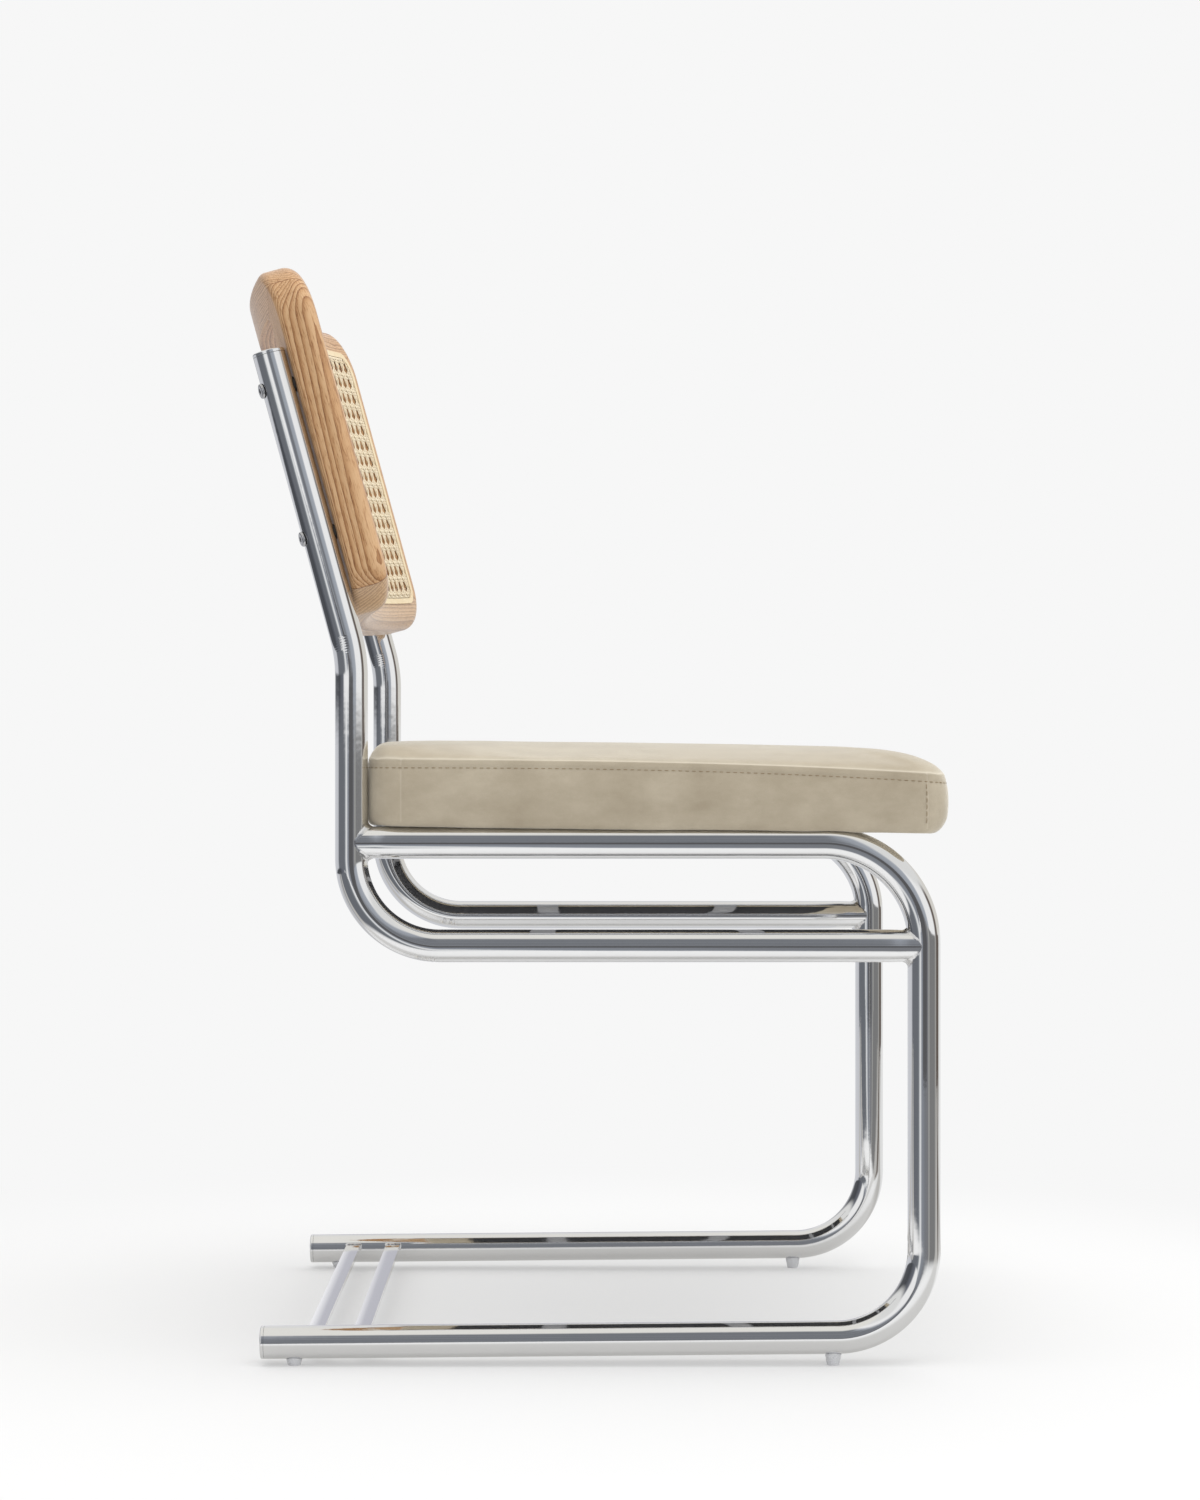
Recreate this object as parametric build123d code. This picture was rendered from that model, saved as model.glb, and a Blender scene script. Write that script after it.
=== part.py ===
from build123d import *
import os
from math import atan2, cos, degrees, radians, sin, sqrt, tan

# Cantilever dining chair: two bent steel-tube side frames, a curved wooden back frame with cane
# webbing, and a boxed seat cushion on a plywood board.
# Millimetres. X runs to the sitter's left, the front of the chair is -Y and Z is up.

# Tube frame
tube_diameter = 25.0
tube_wall = 2.0
frame_spacing = 440.0          # between the axes of the two side frames
frame_depth = 436.5            # from the back tube's axis to the front leg's axis
seat_rail_height = 398.0       # axis above the floor
brace_height = 319.2           # axis above the floor
bend_radius = 67.0             # centre line of the bends at the foot and under the back
rail_bend_radius = 77.0        # centre line of the bend from the leg into the seat rail
kink_height = 540.2            # where the upright starts to lean back
kink_radius = 120.0
back_tilt = 15.3               # degrees from upright
upright_length = 240.7         # from the kink to the top of the end cap
runner_overhang = 69.1         # from the back tube's axis to the runner's rear end
weld_gap = 0.15                # between a coped end and the tube that it is welded to

# Tube end caps
cap_head = 3.0
cap_stem = 12.0
cap_edge_radius = 1.0
cap_seam = 0.35                # bevel that leaves a seam beside the tube
cap_clearance = 0.15

# Glides under the runners
glide_top_diameter = 12.5
glide_foot_diameter = 9.5
glide_height_rear = 4.7
glide_height_front = 8.3
glide_stem_diameter = 6.0
glide_stem_length = 5.0
glide_inset = 25.5             # rear glide, from the runner's rear end
glide_behind_bend = 2.3        # front glide, behind the start of the bend
glide_clearance = 0.15

# Flat bars across the runners
floor_bar_width = 12.5
floor_bar_thickness = 4.0
floor_bar_top = 5.0            # above the runners' axes
floor_bar_inset = 39.4         # rear bar, from the runner's rear end
floor_bar_pitch = 35.6

# Cross bars that carry the seat
seat_bar_width = 20.0
seat_bar_thickness = 5.0
seat_bar_behind = 144.9        # rear bar, in front of the back tube's axis
seat_bar_front = 126.6         # front bar, behind the front leg's axis

# Wooden back frame, measured in its own tilted plane
back_start = 30.0              # lower edge, above the kink
back_height = 275.5
back_side_overhang = 6.0       # outside the back tubes' axes
back_thickness = 30.5
back_curve_radius = 780.0      # rear face, seen from above
back_gap = 0.7                 # between the back tube and the rear face
back_member_width = 36.5
back_top_corner = 45.0
back_bottom_corner = 36.0
back_inner_corner = 9.0
back_outer_fillet = 12.0
back_rear_fillet = 6.0
back_inner_fillet = 2.5
top_joint_angle = 41.0         # degrees from the rail
bottom_joint_angle = 30.0      # degrees from the rail
corner_joint_gap = 0.1
dowel_diameter = 8.0
dowel_length = 30.0
dowel_clearance = 0.1

# Cane webbing and its spline
groove_setback = 21.7          # groove, from the frame's outer edge
groove_depth = 6.0
spline_width = 4.75
spline_depth = 5.5
spline_proud = 1.0
spline_edge_radius = 1.2
cane_thickness = 0.9
cane_rim_depth = 4.0           # edge of the sheet turned into the groove
cane_hole_pitch = 18.0         # wider than the woven pitch, so the sheet has fewer holes
cane_hole = 10.5
cane_border = 5.0
cane_clearance = 0.1

# Screws through the back tubes
screw_diameter = 6.0
screw_head_diameter = 11.5
screw_head_height = 2.0
screw_head_round = 1.4
screw_socket = 4.0
screw_socket_depth = 1.6
screw_grip = 18.0              # length inside the wood
screw_turn = 19.0              # degrees from straight back, towards the outer side
screw_below_top = 28.7         # upper screw, below the tube's top end
screw_above_edge = 65.3        # lower screw, above the back frame's lower edge
screw_clearance = 0.2
spacer_diameter = 12.0
spacer_clearance = 0.1
insert_diameter = 9.0
insert_length = 13.0
insert_recess = 3.0

# Seat cushion and board
seat_clearance = 0.3           # between soft pieces and what they rest on
cushion_side_overhang = 0.6    # outside the seat rails
cushion_front_overhang = 20.4  # in front of the front legs' axes
cushion_corner = 27.0
boxing_height = 46.0           # underside to the top seam, at mid length
seam_fall = 8.6                # drop of the top seam from rear to front
crown_height = 18.5            # top seam to the highest point
crown_side = 95.0              # edge of the flat middle of the crown, from the sides
crown_front = 75.0
crown_rear = 18.0
crown_angles = (0, 20, 40, 65, 90)   # degrees round the crown, one outline at each
crown_levelling = 0.5          # share of the seam's tilt that the top of the crown loses
corner_growth = 1 / 3          # growth of an outline's corners per millimetre drawn in
# Outlines of the boxing: height, then how far each is drawn in at the sides and rear, and at the front
boxing_outlines = ((0.0, 5.0, 11.0), (2.5, 2.2, 6.5), (9.0, 0.0, 2.0), (27.0, 0.0, 0.0))
side_draw = 1.2                # how far the top seam is drawn in at the sides and rear
front_draw = 3.0               # the same along the front
fabric_thickness = 1.2
foam_clearance = 0.2
board_thickness = 12.0
board_inset = 12.5             # from the cushion's outline
hem_width = 45.0               # cover turned under the board

# Seat bolts and T-nuts
bolt_diameter = 6.0
bolt_spacing = 260.0
bolt_head_diameter = 12.0
bolt_head_height = 3.5
bolt_head_round = 1.75
bolt_clearance = 0.3
tnut_flange_diameter = 19.0
tnut_flange_thickness = 1.6
tnut_barrel_diameter = 8.6
tnut_clearance = 0.15

# Values that follow from the sizes above
tube_radius = tube_diameter / 2
bore_radius = tube_radius - tube_wall
half_spacing = frame_spacing / 2
rail_top = seat_rail_height + tube_radius
runner_end = runner_overhang
leg_y = -frame_depth
glide_rear_y = runner_end - glide_inset
glide_front_y = leg_y + bend_radius + glide_behind_bend
runner_slope = (glide_height_front - glide_height_rear) / (glide_rear_y - glide_front_y)


def runner_height(y):
    """Height of the runner's axis above the floor."""
    return glide_height_rear + tube_radius + (glide_rear_y - y) * runner_slope


def rod(radius, start, end):
    """Round bar between two points."""
    axis = Vector(*end) - Vector(*start)
    plane = Plane(origin=start, z_dir=axis)
    return extrude(plane * Circle(radius), amount=axis.length)


def along(path, radius):
    """Round bar that follows a path from its first point."""
    plane = Plane(origin=path @ 0, z_dir=path % 0)
    return sweep(plane * Circle(radius), path=path)


def rounded_box(width, depth, height, corner, place):
    return place * extrude(RectangleRounded(width, depth, corner), amount=height)


def mirrored(solid):
    """The same piece on the sitter's left side."""
    return mirror(solid, about=Plane.YZ)


nodes = {}


def add_pair(name, solid):
    nodes[name + "_right"] = solid
    nodes[name + "_left"] = mirrored(solid)


# Centre lines of the two tubes of the right-hand side frame
upright_direction = Vector(0, sin(radians(back_tilt)), cos(radians(back_tilt)))
kink_point = Vector(-half_spacing, 0, kink_height)
upright_top = kink_point + upright_direction * (upright_length - cap_head)
brace_start = Vector(-half_spacing, 0, brace_height)
brace_end = Vector(-half_spacing, leg_y, brace_height)
back_path = FilletPolyline(upright_top, kink_point, brace_start, brace_end,
                           radius=[kink_radius, bend_radius])

runner_tip_y = runner_end - cap_head
runner_start = Vector(-half_spacing, runner_tip_y, runner_height(runner_tip_y))
leg_foot = Vector(-half_spacing, leg_y, runner_height(leg_y))
leg_head = Vector(-half_spacing, leg_y, seat_rail_height)
rail_end = Vector(-half_spacing, 0, seat_rail_height)
leg_path = FilletPolyline(runner_start, leg_foot, leg_head, rail_end,
                          radius=[bend_radius, rail_bend_radius])

back_body = along(back_path, tube_radius)
leg_body = along(leg_path, tube_radius)
back_envelope = along(back_path, tube_radius + weld_gap)
leg_envelope = along(leg_path, tube_radius + weld_gap)
runner_envelope = rod(tube_radius + weld_gap, runner_start, leg_foot)

# Tilted frame of the wooden back: x to the left, y to the rear, z up the slope from the kink
back_place = Location((0, 0, kink_height), (-back_tilt, 0, 0))
back_width = frame_spacing + 2 * back_side_overhang
back_end = back_start + back_height
back_middle = back_start + back_height / 2
curve_centre = -sqrt((back_curve_radius + back_gap + tube_radius) ** 2 - half_spacing ** 2)
front_radius = back_curve_radius - back_thickness
block_depth = back_curve_radius

# Screws, as a list of (height up the slope, side), where -1 is the sitter's right
screw_high = upright_length - screw_below_top
screw_low = back_start + screw_above_edge
screw_places = [(height, side) for height in (screw_low, screw_high) for side in (-1, 1)]
screw_reach = tube_radius + back_gap


def screw_plane(height, side):
    """Plane on the tube's axis, its normal running out through the screw's head."""
    outward = (side * sin(radians(screw_turn)), cos(radians(screw_turn)), 0)
    return Plane(origin=(side * half_spacing, 0, height), z_dir=outward)


def on_screw(height, side, radius, start, end):
    """Round bar on a screw's axis, between two distances from the tube's axis."""
    plane = screw_plane(height, side).offset(start)
    return extrude(plane * Circle(radius), amount=end - start)


# Leg tubes, coped at the rail's end and drilled for the glides
def glide_hole(y):
    hole_radius = glide_stem_diameter / 2 + glide_clearance
    return rod(hole_radius, (-half_spacing, y, 0), (-half_spacing, y, runner_height(y)))


leg_tube = leg_body - along(leg_path, bore_radius) - back_envelope
for glide_y in (glide_rear_y, glide_front_y):
    leg_tube -= glide_hole(glide_y)
add_pair("leg_tube", leg_tube)

# Back tubes, coped at the brace's end and drilled for the screws
back_tube = back_body - along(back_path, bore_radius) - leg_envelope
for height, side in screw_places:
    if side < 0:
        hole_radius = screw_diameter / 2 + screw_clearance
        back_tube -= back_place * on_screw(height, side, hole_radius, -tube_diameter, tube_diameter)
add_pair("back_tube", back_tube)


# End caps: a thin head with a stem inside the tube
def end_cap(path):
    outward = (path % 0) * -1
    plane = Plane(origin=path @ 0, z_dir=outward)
    head = extrude(plane * Circle(tube_radius), amount=cap_head)
    head = fillet(head.edges().sort_by(Axis(path @ 0, outward))[-1], cap_edge_radius)
    head = chamfer(head.edges().sort_by(Axis(path @ 0, outward))[0], cap_seam)
    stem_radius = bore_radius - cap_clearance
    return head + extrude(plane * Circle(stem_radius), amount=-cap_stem)


add_pair("back_tube_cap", end_cap(back_path))
add_pair("runner_cap", end_cap(leg_path))


# Glides: a tapered foot shaped to the tube, with a stem in the tube's wall
def glide(y, height):
    top_radius = glide_top_diameter / 2
    profile = Polyline((0, 0), (glide_foot_diameter / 2, 0), (top_radius, height),
                       (top_radius, runner_height(y)), (0, runner_height(y)), close=True)
    foot = Pos(-half_spacing, y) * revolve(Plane.XZ * make_face(profile), Axis.Z)
    stem_top = height + tube_wall + glide_stem_length
    stem = rod(glide_stem_diameter / 2, (-half_spacing, y, height / 2), (-half_spacing, y, stem_top))
    return foot - runner_envelope + stem


add_pair("glide_rear", glide(glide_rear_y, glide_height_rear))
add_pair("glide_front", glide(glide_front_y, glide_height_front))


# Bars between the side frames, with their ends shaped to the tubes
def cross_bar(y, height, width, thickness):
    bar = Pos(0, y, height) * Box(frame_spacing, width, thickness)
    return bar - leg_envelope - mirrored(leg_envelope)


floor_bar_rear_y = runner_end - floor_bar_inset
floor_bar_front_y = floor_bar_rear_y - floor_bar_pitch
for name, y in (("floor_bar_rear", floor_bar_rear_y), ("floor_bar_front", floor_bar_front_y)):
    bar_height = runner_height(y) + floor_bar_top - floor_bar_thickness / 2
    nodes[name] = cross_bar(y, bar_height, floor_bar_width, floor_bar_thickness)

seat_bar_rear_y = -seat_bar_behind
seat_bar_front_y = leg_y + seat_bar_front
seat_bar_height = rail_top - seat_bar_thickness / 2
bolt_places = [(x, y) for x in (-bolt_spacing / 2, bolt_spacing / 2)
               for y in (seat_bar_rear_y, seat_bar_front_y)]
bolt_hole_radius = bolt_diameter / 2 + bolt_clearance


def seat_cross_bar(y):
    bar = cross_bar(y, seat_bar_height, seat_bar_width, seat_bar_thickness)
    for hole_x, hole_y in bolt_places:
        bar -= rod(bolt_hole_radius, (hole_x, hole_y, seat_rail_height), (hole_x, hole_y, rail_top))
    return bar.solids().sort_by(SortBy.VOLUME)[-1]


nodes["seat_cross_bar_rear"] = seat_cross_bar(seat_bar_rear_y)
nodes["seat_cross_bar_front"] = seat_cross_bar(seat_bar_front_y)


# Wooden back frame: outline extruded through a curved shell, edges rounded, split at the corners
def back_outline(inset):
    """Front view of the back frame's outline, drawn in by an inset."""
    half = back_width / 2 - inset
    low = back_start + inset
    high = back_end - inset
    corners = [(-half, low), (half, low), (half, high), (-half, high)]
    top_radius = max(back_top_corner - inset, back_inner_corner)
    bottom_radius = max(back_bottom_corner - inset, back_inner_corner)
    radii = [bottom_radius, bottom_radius, top_radius, top_radius]
    outline = FilletPolyline(*corners, radius=radii, close=True)
    return Plane.XZ * make_face(outline)


def through(sketch):
    """Front-view sketch extruded through the whole depth of the back."""
    return extrude(sketch, amount=block_depth / 2, both=True)


def curved_shell(front, rear):
    """Shell between two radii about the upright axis in front of the back."""
    place = Pos(0, curve_centre, back_middle)
    height = 2 * back_height
    return place * (Cylinder(rear, height) - Cylinder(front, height))


# The front and rear faces are the two largest; the front is rounded more than the rear
back_block = through(back_outline(0)) & curved_shell(front_radius, back_curve_radius)
rear_face = back_block.faces().sort_by(SortBy.AREA)[-2:].sort_by(Axis.Y)[-1]
back_block = fillet(rear_face.edges(), back_rear_fillet)
front_face = back_block.faces().sort_by(SortBy.AREA)[-2:].sort_by(Axis.Y)[0]
back_block = fillet(front_face.edges(), back_outer_fillet)
opening = through(back_outline(back_member_width)) & curved_shell(front_radius, back_curve_radius)
back_ring = back_block - opening
wide_faces = back_ring.faces().sort_by(SortBy.AREA)[-2:]
inner_edges = wide_faces[0].inner_wires()[0].edges() + wide_faces[1].inner_wires()[0].edges()
back_ring = fillet(inner_edges, back_inner_fillet)

spline_outer = groove_setback + cane_clearance
spline_inner = spline_outer + spline_width
rim_outer = spline_inner + cane_clearance
rim_inner = rim_outer + cane_thickness
groove_inner = rim_inner + cane_clearance


def ring(outer_inset, inner_inset, front, rear):
    """Band between two outlines and two radii."""
    band = back_outline(outer_inset) - back_outline(inner_inset)
    return through(band) & curved_shell(front, rear)


back_ring -= ring(groove_setback, groove_inner, front_radius - groove_depth, front_radius + groove_depth)

# Corner joints, each at an inner corner of the frame
joint_x = back_width / 2 - back_member_width
joint_low = back_start + back_member_width
joint_high = back_end - back_member_width
joint_run = back_width
top_slope = radians(top_joint_angle)
bottom_slope = radians(bottom_joint_angle)
top_rise = joint_run * tan(top_slope)
bottom_fall = joint_run * tan(bottom_slope)
top_gap = corner_joint_gap / 2 / cos(top_slope)
bottom_gap = corner_joint_gap / 2 / cos(bottom_slope)


def region(*points):
    """Part of the back block inside a front-view polygon."""
    return through(Plane.XZ * make_face(Polyline(*points, close=True)))


outer_x = joint_x + joint_run
top_edge = joint_high + top_gap
bottom_edge = joint_low - bottom_gap
stile_top = joint_high - top_gap
stile_bottom = joint_low + bottom_gap
top_region = region((-joint_x, top_edge), (joint_x, top_edge),
                    (outer_x, top_edge + top_rise), (-outer_x, top_edge + top_rise))
bottom_region = region((-joint_x, bottom_edge), (joint_x, bottom_edge),
                       (outer_x, bottom_edge - bottom_fall), (-outer_x, bottom_edge - bottom_fall))
right_region = region((-joint_x, stile_bottom), (-joint_x, stile_top),
                      (-outer_x, stile_top + top_rise), (-outer_x, stile_bottom - bottom_fall))

# Dowels across the corner joints, at mid thickness
joint_reach = back_member_width / 2


def dowel(side, end, radius, length):
    """Dowel in one corner: side -1 is the sitter's right, end 1 is the top."""
    slope = top_slope if end > 0 else bottom_slope
    inner_height = joint_high if end > 0 else joint_low
    x = joint_x + joint_reach * cos(slope)
    y = curve_centre + sqrt((front_radius + back_thickness / 2) ** 2 - x ** 2)
    middle = Vector(side * x, y, inner_height + end * joint_reach * sin(slope))
    half = Vector(-side * sin(slope), 0, end * cos(slope)) * (length / 2)
    return rod(radius, middle - half, middle + half)


corner_ends = [(side, end) for side in (-1, 1) for end in (-1, 1)]
dowel_hole = dowel_diameter / 2 + dowel_clearance
for side, end in corner_ends:
    back_ring -= dowel(side, end, dowel_hole, dowel_length + 2 * dowel_clearance)
for height, side in screw_places:
    depth = screw_reach + insert_recess + insert_length + insert_recess
    back_ring -= on_screw(height, side, insert_diameter / 2 + screw_clearance, -depth, 0)

back_rails = {"back_top_rail": top_region, "back_bottom_rail": bottom_region}
for name, piece_region in back_rails.items():
    nodes[name] = back_place * (back_ring & piece_region)
add_pair("back_stile", back_place * (back_ring & right_region))
nodes["back_dowels"] = back_place * Compound(
    [dowel(side, end, dowel_diameter / 2, dowel_length).solid() for side, end in corner_ends])

# Cane sheet with its edge turned into the groove, and the spline that holds it there
sheet_rear = front_radius - cane_clearance
sheet_front = sheet_rear - cane_thickness
field_width = back_width - 2 * (groove_inner + cane_border)
field_height = back_height - 2 * (groove_inner + cane_border)
cane_columns = int(field_width // cane_hole_pitch)
cane_rows = int(field_height // cane_hole_pitch)
hole_field = Plane.XZ * Pos(0, back_middle) * Sketch(
    [place * Rectangle(cane_hole, cane_hole)
     for place in GridLocations(cane_hole_pitch, cane_hole_pitch, cane_columns, cane_rows)])
cane_sheet = through(back_outline(rim_outer) - hole_field) & curved_shell(sheet_front, sheet_rear)
cane_rim = ring(rim_outer, rim_inner, sheet_front, front_radius + cane_rim_depth)
nodes["cane_panel"] = back_place * (cane_sheet + cane_rim)

cane_spline = ring(spline_outer, spline_inner, front_radius - spline_proud,
                   front_radius - spline_proud + spline_depth)
spline_face = cane_spline.faces().sort_by(SortBy.AREA)[-2]
nodes["cane_spline"] = back_place * fillet(spline_face.edges(), spline_edge_radius)

# Screws with their spacers and inserts
rear_face_block = Pos(0, curve_centre, back_middle) * Cylinder(
    back_curve_radius + spacer_clearance, 2 * back_height)
local_back_envelope = back_place.inverse() * along(back_path, tube_radius + spacer_clearance)


def back_screw(height, side):
    under_head = tube_radius + spacer_clearance
    tip = -(screw_reach + screw_grip)
    shank = on_screw(height, side, screw_diameter / 2, tip, under_head)
    head = on_screw(height, side, screw_head_diameter / 2, under_head, under_head + screw_head_height)
    plane = screw_plane(height, side)
    rim = head.edges().sort_by(Axis(plane.origin, plane.z_dir))[-1]
    head = fillet(rim, screw_head_round)
    socket_plane = plane.offset(under_head + screw_head_height - screw_socket_depth)
    socket = extrude(socket_plane * RegularPolygon(screw_socket / 2, 6, major_radius=False),
                     amount=2 * screw_socket_depth)
    return shank + head - socket


def back_spacer(height, side):
    disc = on_screw(height, side, spacer_diameter / 2, -screw_reach - tube_wall, -tube_radius / 2)
    tube = local_back_envelope if side < 0 else mirrored(local_back_envelope)
    hole = on_screw(height, side, screw_diameter / 2 + screw_clearance, -tube_diameter, tube_diameter)
    return disc - tube - rear_face_block - hole


def back_insert(height, side):
    mouth = -(screw_reach + insert_recess)
    bore = screw_diameter / 2 + screw_clearance / 2
    sleeve = on_screw(height, side, insert_diameter / 2, mouth - insert_length, mouth)
    return sleeve - on_screw(height, side, bore, mouth - insert_length, mouth)


for name, maker in (("back_screws", back_screw), ("back_spacers", back_spacer),
                    ("back_inserts", back_insert)):
    pieces = [maker(height, side).solid() for height, side in screw_places]
    nodes[name] = back_place * Compound(pieces)

# Seat cushion: a loft of rounded outlines from the underside over the seam to the crown
seat_base = rail_top + seat_clearance
cushion_width = frame_spacing + tube_diameter + 2 * cushion_side_overhang
corner_offset = max(0.0, half_spacing + cushion_corner - cushion_width / 2)
corner_reach = tube_radius + seat_clearance + cushion_corner
cushion_rear = cushion_corner - sqrt(corner_reach ** 2 - corner_offset ** 2)
cushion_front = leg_y - cushion_front_overhang
cushion_length = cushion_rear - cushion_front
cushion_middle = (cushion_rear + cushion_front) / 2
seam_tilt = degrees(atan2(seam_fall, cushion_length))


def cushion_section(height, side, front, rear, tilt):
    """Outline of the cushion at one height, drawn in at its sides, front and rear."""
    outline = RectangleRounded(cushion_width - 2 * side, cushion_length - front - rear,
                               cushion_corner + side * corner_growth)
    place = Location((0, cushion_middle, seat_base + height), (tilt, 0, 0))
    return place * Pos(0, (front - rear) / 2) * outline


def cushion_form(inset):
    """Solid of the cushion, drawn in on every side by an inset."""
    sections = []
    for height, side, front in boxing_outlines:
        lift = inset * (1 - height / boxing_height)
        sections.append(cushion_section(height + lift, inset + side, inset + front, inset + side, 0))
    for angle in crown_angles:
        rise = (crown_height - inset) * sin(radians(angle))
        spread = 1 - cos(radians(angle))
        side = inset + side_draw + crown_side * spread
        front = inset + front_draw + crown_front * spread
        rear = inset + side_draw + crown_rear * spread
        tilt = seam_tilt * (1 - spread * crown_levelling)
        sections.append(cushion_section(boxing_height + rise, side, front, rear, tilt))
    return loft(sections, ruled=True)


board_width = cushion_width - 2 * board_inset
board_length = cushion_length - 2 * board_inset
board_base = seat_base + fabric_thickness
board_place = Pos(0, cushion_middle, board_base)
dust_place = Pos(0, cushion_middle, seat_base)
dust_width = cushion_width - 2 * hem_width
dust_length = cushion_length - 2 * hem_width


def grown_board(clearance):
    return rounded_box(board_width + 2 * clearance, board_length + 2 * clearance,
                       board_thickness + clearance, cushion_corner, board_place)


def at_bolts(radius, low, high):
    """Round bars on the four bolts' axes, between two heights."""
    return [rod(radius, (x, y, low), (x, y, high)) for x, y in bolt_places]


hem_opening = rounded_box(dust_width, dust_length, board_thickness, cushion_corner, dust_place)
nodes["seat_cover"] = cushion_form(0.0) - cushion_form(fabric_thickness) - hem_opening
foam_block = cushion_form(fabric_thickness + foam_clearance)
nodes["seat_foam"] = foam_block - grown_board(foam_clearance)
dust_cover = rounded_box(dust_width - 2 * foam_clearance, dust_length - 2 * foam_clearance,
                         fabric_thickness, cushion_corner, dust_place)
board_top = board_base + board_thickness
flange_base = board_top - tnut_flange_thickness
seat_board = grown_board(0.0)
for bar in at_bolts(tnut_barrel_diameter / 2 + tnut_clearance, board_base, board_top):
    seat_board -= bar
for bar in at_bolts(tnut_flange_diameter / 2 + tnut_clearance, flange_base, board_top):
    seat_board -= bar
for bar in at_bolts(bolt_hole_radius, seat_base, board_base):
    dust_cover -= bar
nodes["seat_board"] = seat_board
nodes["dust_cover"] = dust_cover


# T-nuts set flush in the board, and the bolts that come up through the cross bars
def t_nut(x, y):
    nut = rod(tnut_flange_diameter / 2, (x, y, flange_base), (x, y, board_top))
    nut += rod(tnut_barrel_diameter / 2, (x, y, board_base), (x, y, flange_base))
    return nut - rod(bolt_diameter / 2 + tnut_clearance, (x, y, board_base), (x, y, board_top))


def seat_bolt(x, y):
    head_top = rail_top - seat_bar_thickness
    shank = rod(bolt_diameter / 2, (x, y, head_top), (x, y, flange_base))
    head = rod(bolt_head_diameter / 2, (x, y, head_top - bolt_head_height), (x, y, head_top))
    head = fillet(head.edges().sort_by(Axis.Z)[0], bolt_head_round)
    return shank + head


nodes["seat_t_nuts"] = Compound([t_nut(x, y).solid() for x, y in bolt_places])
nodes["seat_bolts"] = Compound([seat_bolt(x, y).solid() for x, y in bolt_places])

# The origin is on the floor, in the middle of the whole chair
box = Compound(list(nodes.values())).bounding_box()
to_middle = Pos(-(box.min.X + box.max.X) / 2, -(box.min.Y + box.max.Y) / 2, 0)
os.makedirs("parts", exist_ok=True)
for name, solid in nodes.items():
    export_step(to_middle * solid, "parts/" + name + ".step")
print("width, depth, height:", [round(size, 2) for size in box.size])
print("cane holes:", cane_columns * cane_rows)
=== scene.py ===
import math
import random

import bpy
import numpy as np
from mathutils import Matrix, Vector, noise


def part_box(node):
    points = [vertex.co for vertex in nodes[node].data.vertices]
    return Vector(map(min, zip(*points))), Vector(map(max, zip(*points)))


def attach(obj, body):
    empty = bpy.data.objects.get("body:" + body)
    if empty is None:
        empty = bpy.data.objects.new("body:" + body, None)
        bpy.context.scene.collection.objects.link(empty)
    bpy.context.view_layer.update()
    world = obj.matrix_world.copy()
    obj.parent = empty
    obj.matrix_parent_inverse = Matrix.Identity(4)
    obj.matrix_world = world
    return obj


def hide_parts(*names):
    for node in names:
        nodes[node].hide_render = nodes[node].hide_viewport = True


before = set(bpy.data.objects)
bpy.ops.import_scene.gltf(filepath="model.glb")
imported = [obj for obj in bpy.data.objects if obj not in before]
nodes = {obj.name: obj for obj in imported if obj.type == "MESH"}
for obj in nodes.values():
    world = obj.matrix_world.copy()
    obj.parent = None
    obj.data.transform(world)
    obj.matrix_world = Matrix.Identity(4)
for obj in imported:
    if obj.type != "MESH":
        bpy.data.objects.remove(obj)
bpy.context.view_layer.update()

# Side frames: two steel tubes on each side, bent cold on a mandrel and welded to each other.
# They are polished after welding and then chromed all over, so the plate shows every band of light
# in the studio, with a faint haze from handling and a fine waviness left by the polishing belt.


class Shade:
    """One output of a shader node, so that shader maths reads as plain sums."""

    def __init__(self, finish, socket):
        self.finish = finish
        self.socket = socket

    def math(self, operation, first, second):
        return self.finish.node("ShaderNodeMath", {"operation": operation}, {0: first, 1: second})

    def __add__(self, other):
        return self.math("ADD", self, other)

    def __radd__(self, other):
        return self.math("ADD", other, self)

    def __sub__(self, other):
        return self.math("SUBTRACT", self, other)

    def __rsub__(self, other):
        return self.math("SUBTRACT", other, self)

    def __mul__(self, other):
        return self.math("MULTIPLY", self, other)

    def __rmul__(self, other):
        return self.math("MULTIPLY", other, self)

    def __truediv__(self, other):
        return self.math("DIVIDE", self, other)

    def __rtruediv__(self, other):
        return self.math("DIVIDE", other, self)

    def __pow__(self, other):
        return self.math("POWER", self, other)

    def __gt__(self, other):
        return self.math("GREATER_THAN", self, other)

    def __abs__(self):
        return self.math("ABSOLUTE", self, 0.0)

    def __mod__(self, other):
        return self.math("FLOORED_MODULO", self, other)


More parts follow.
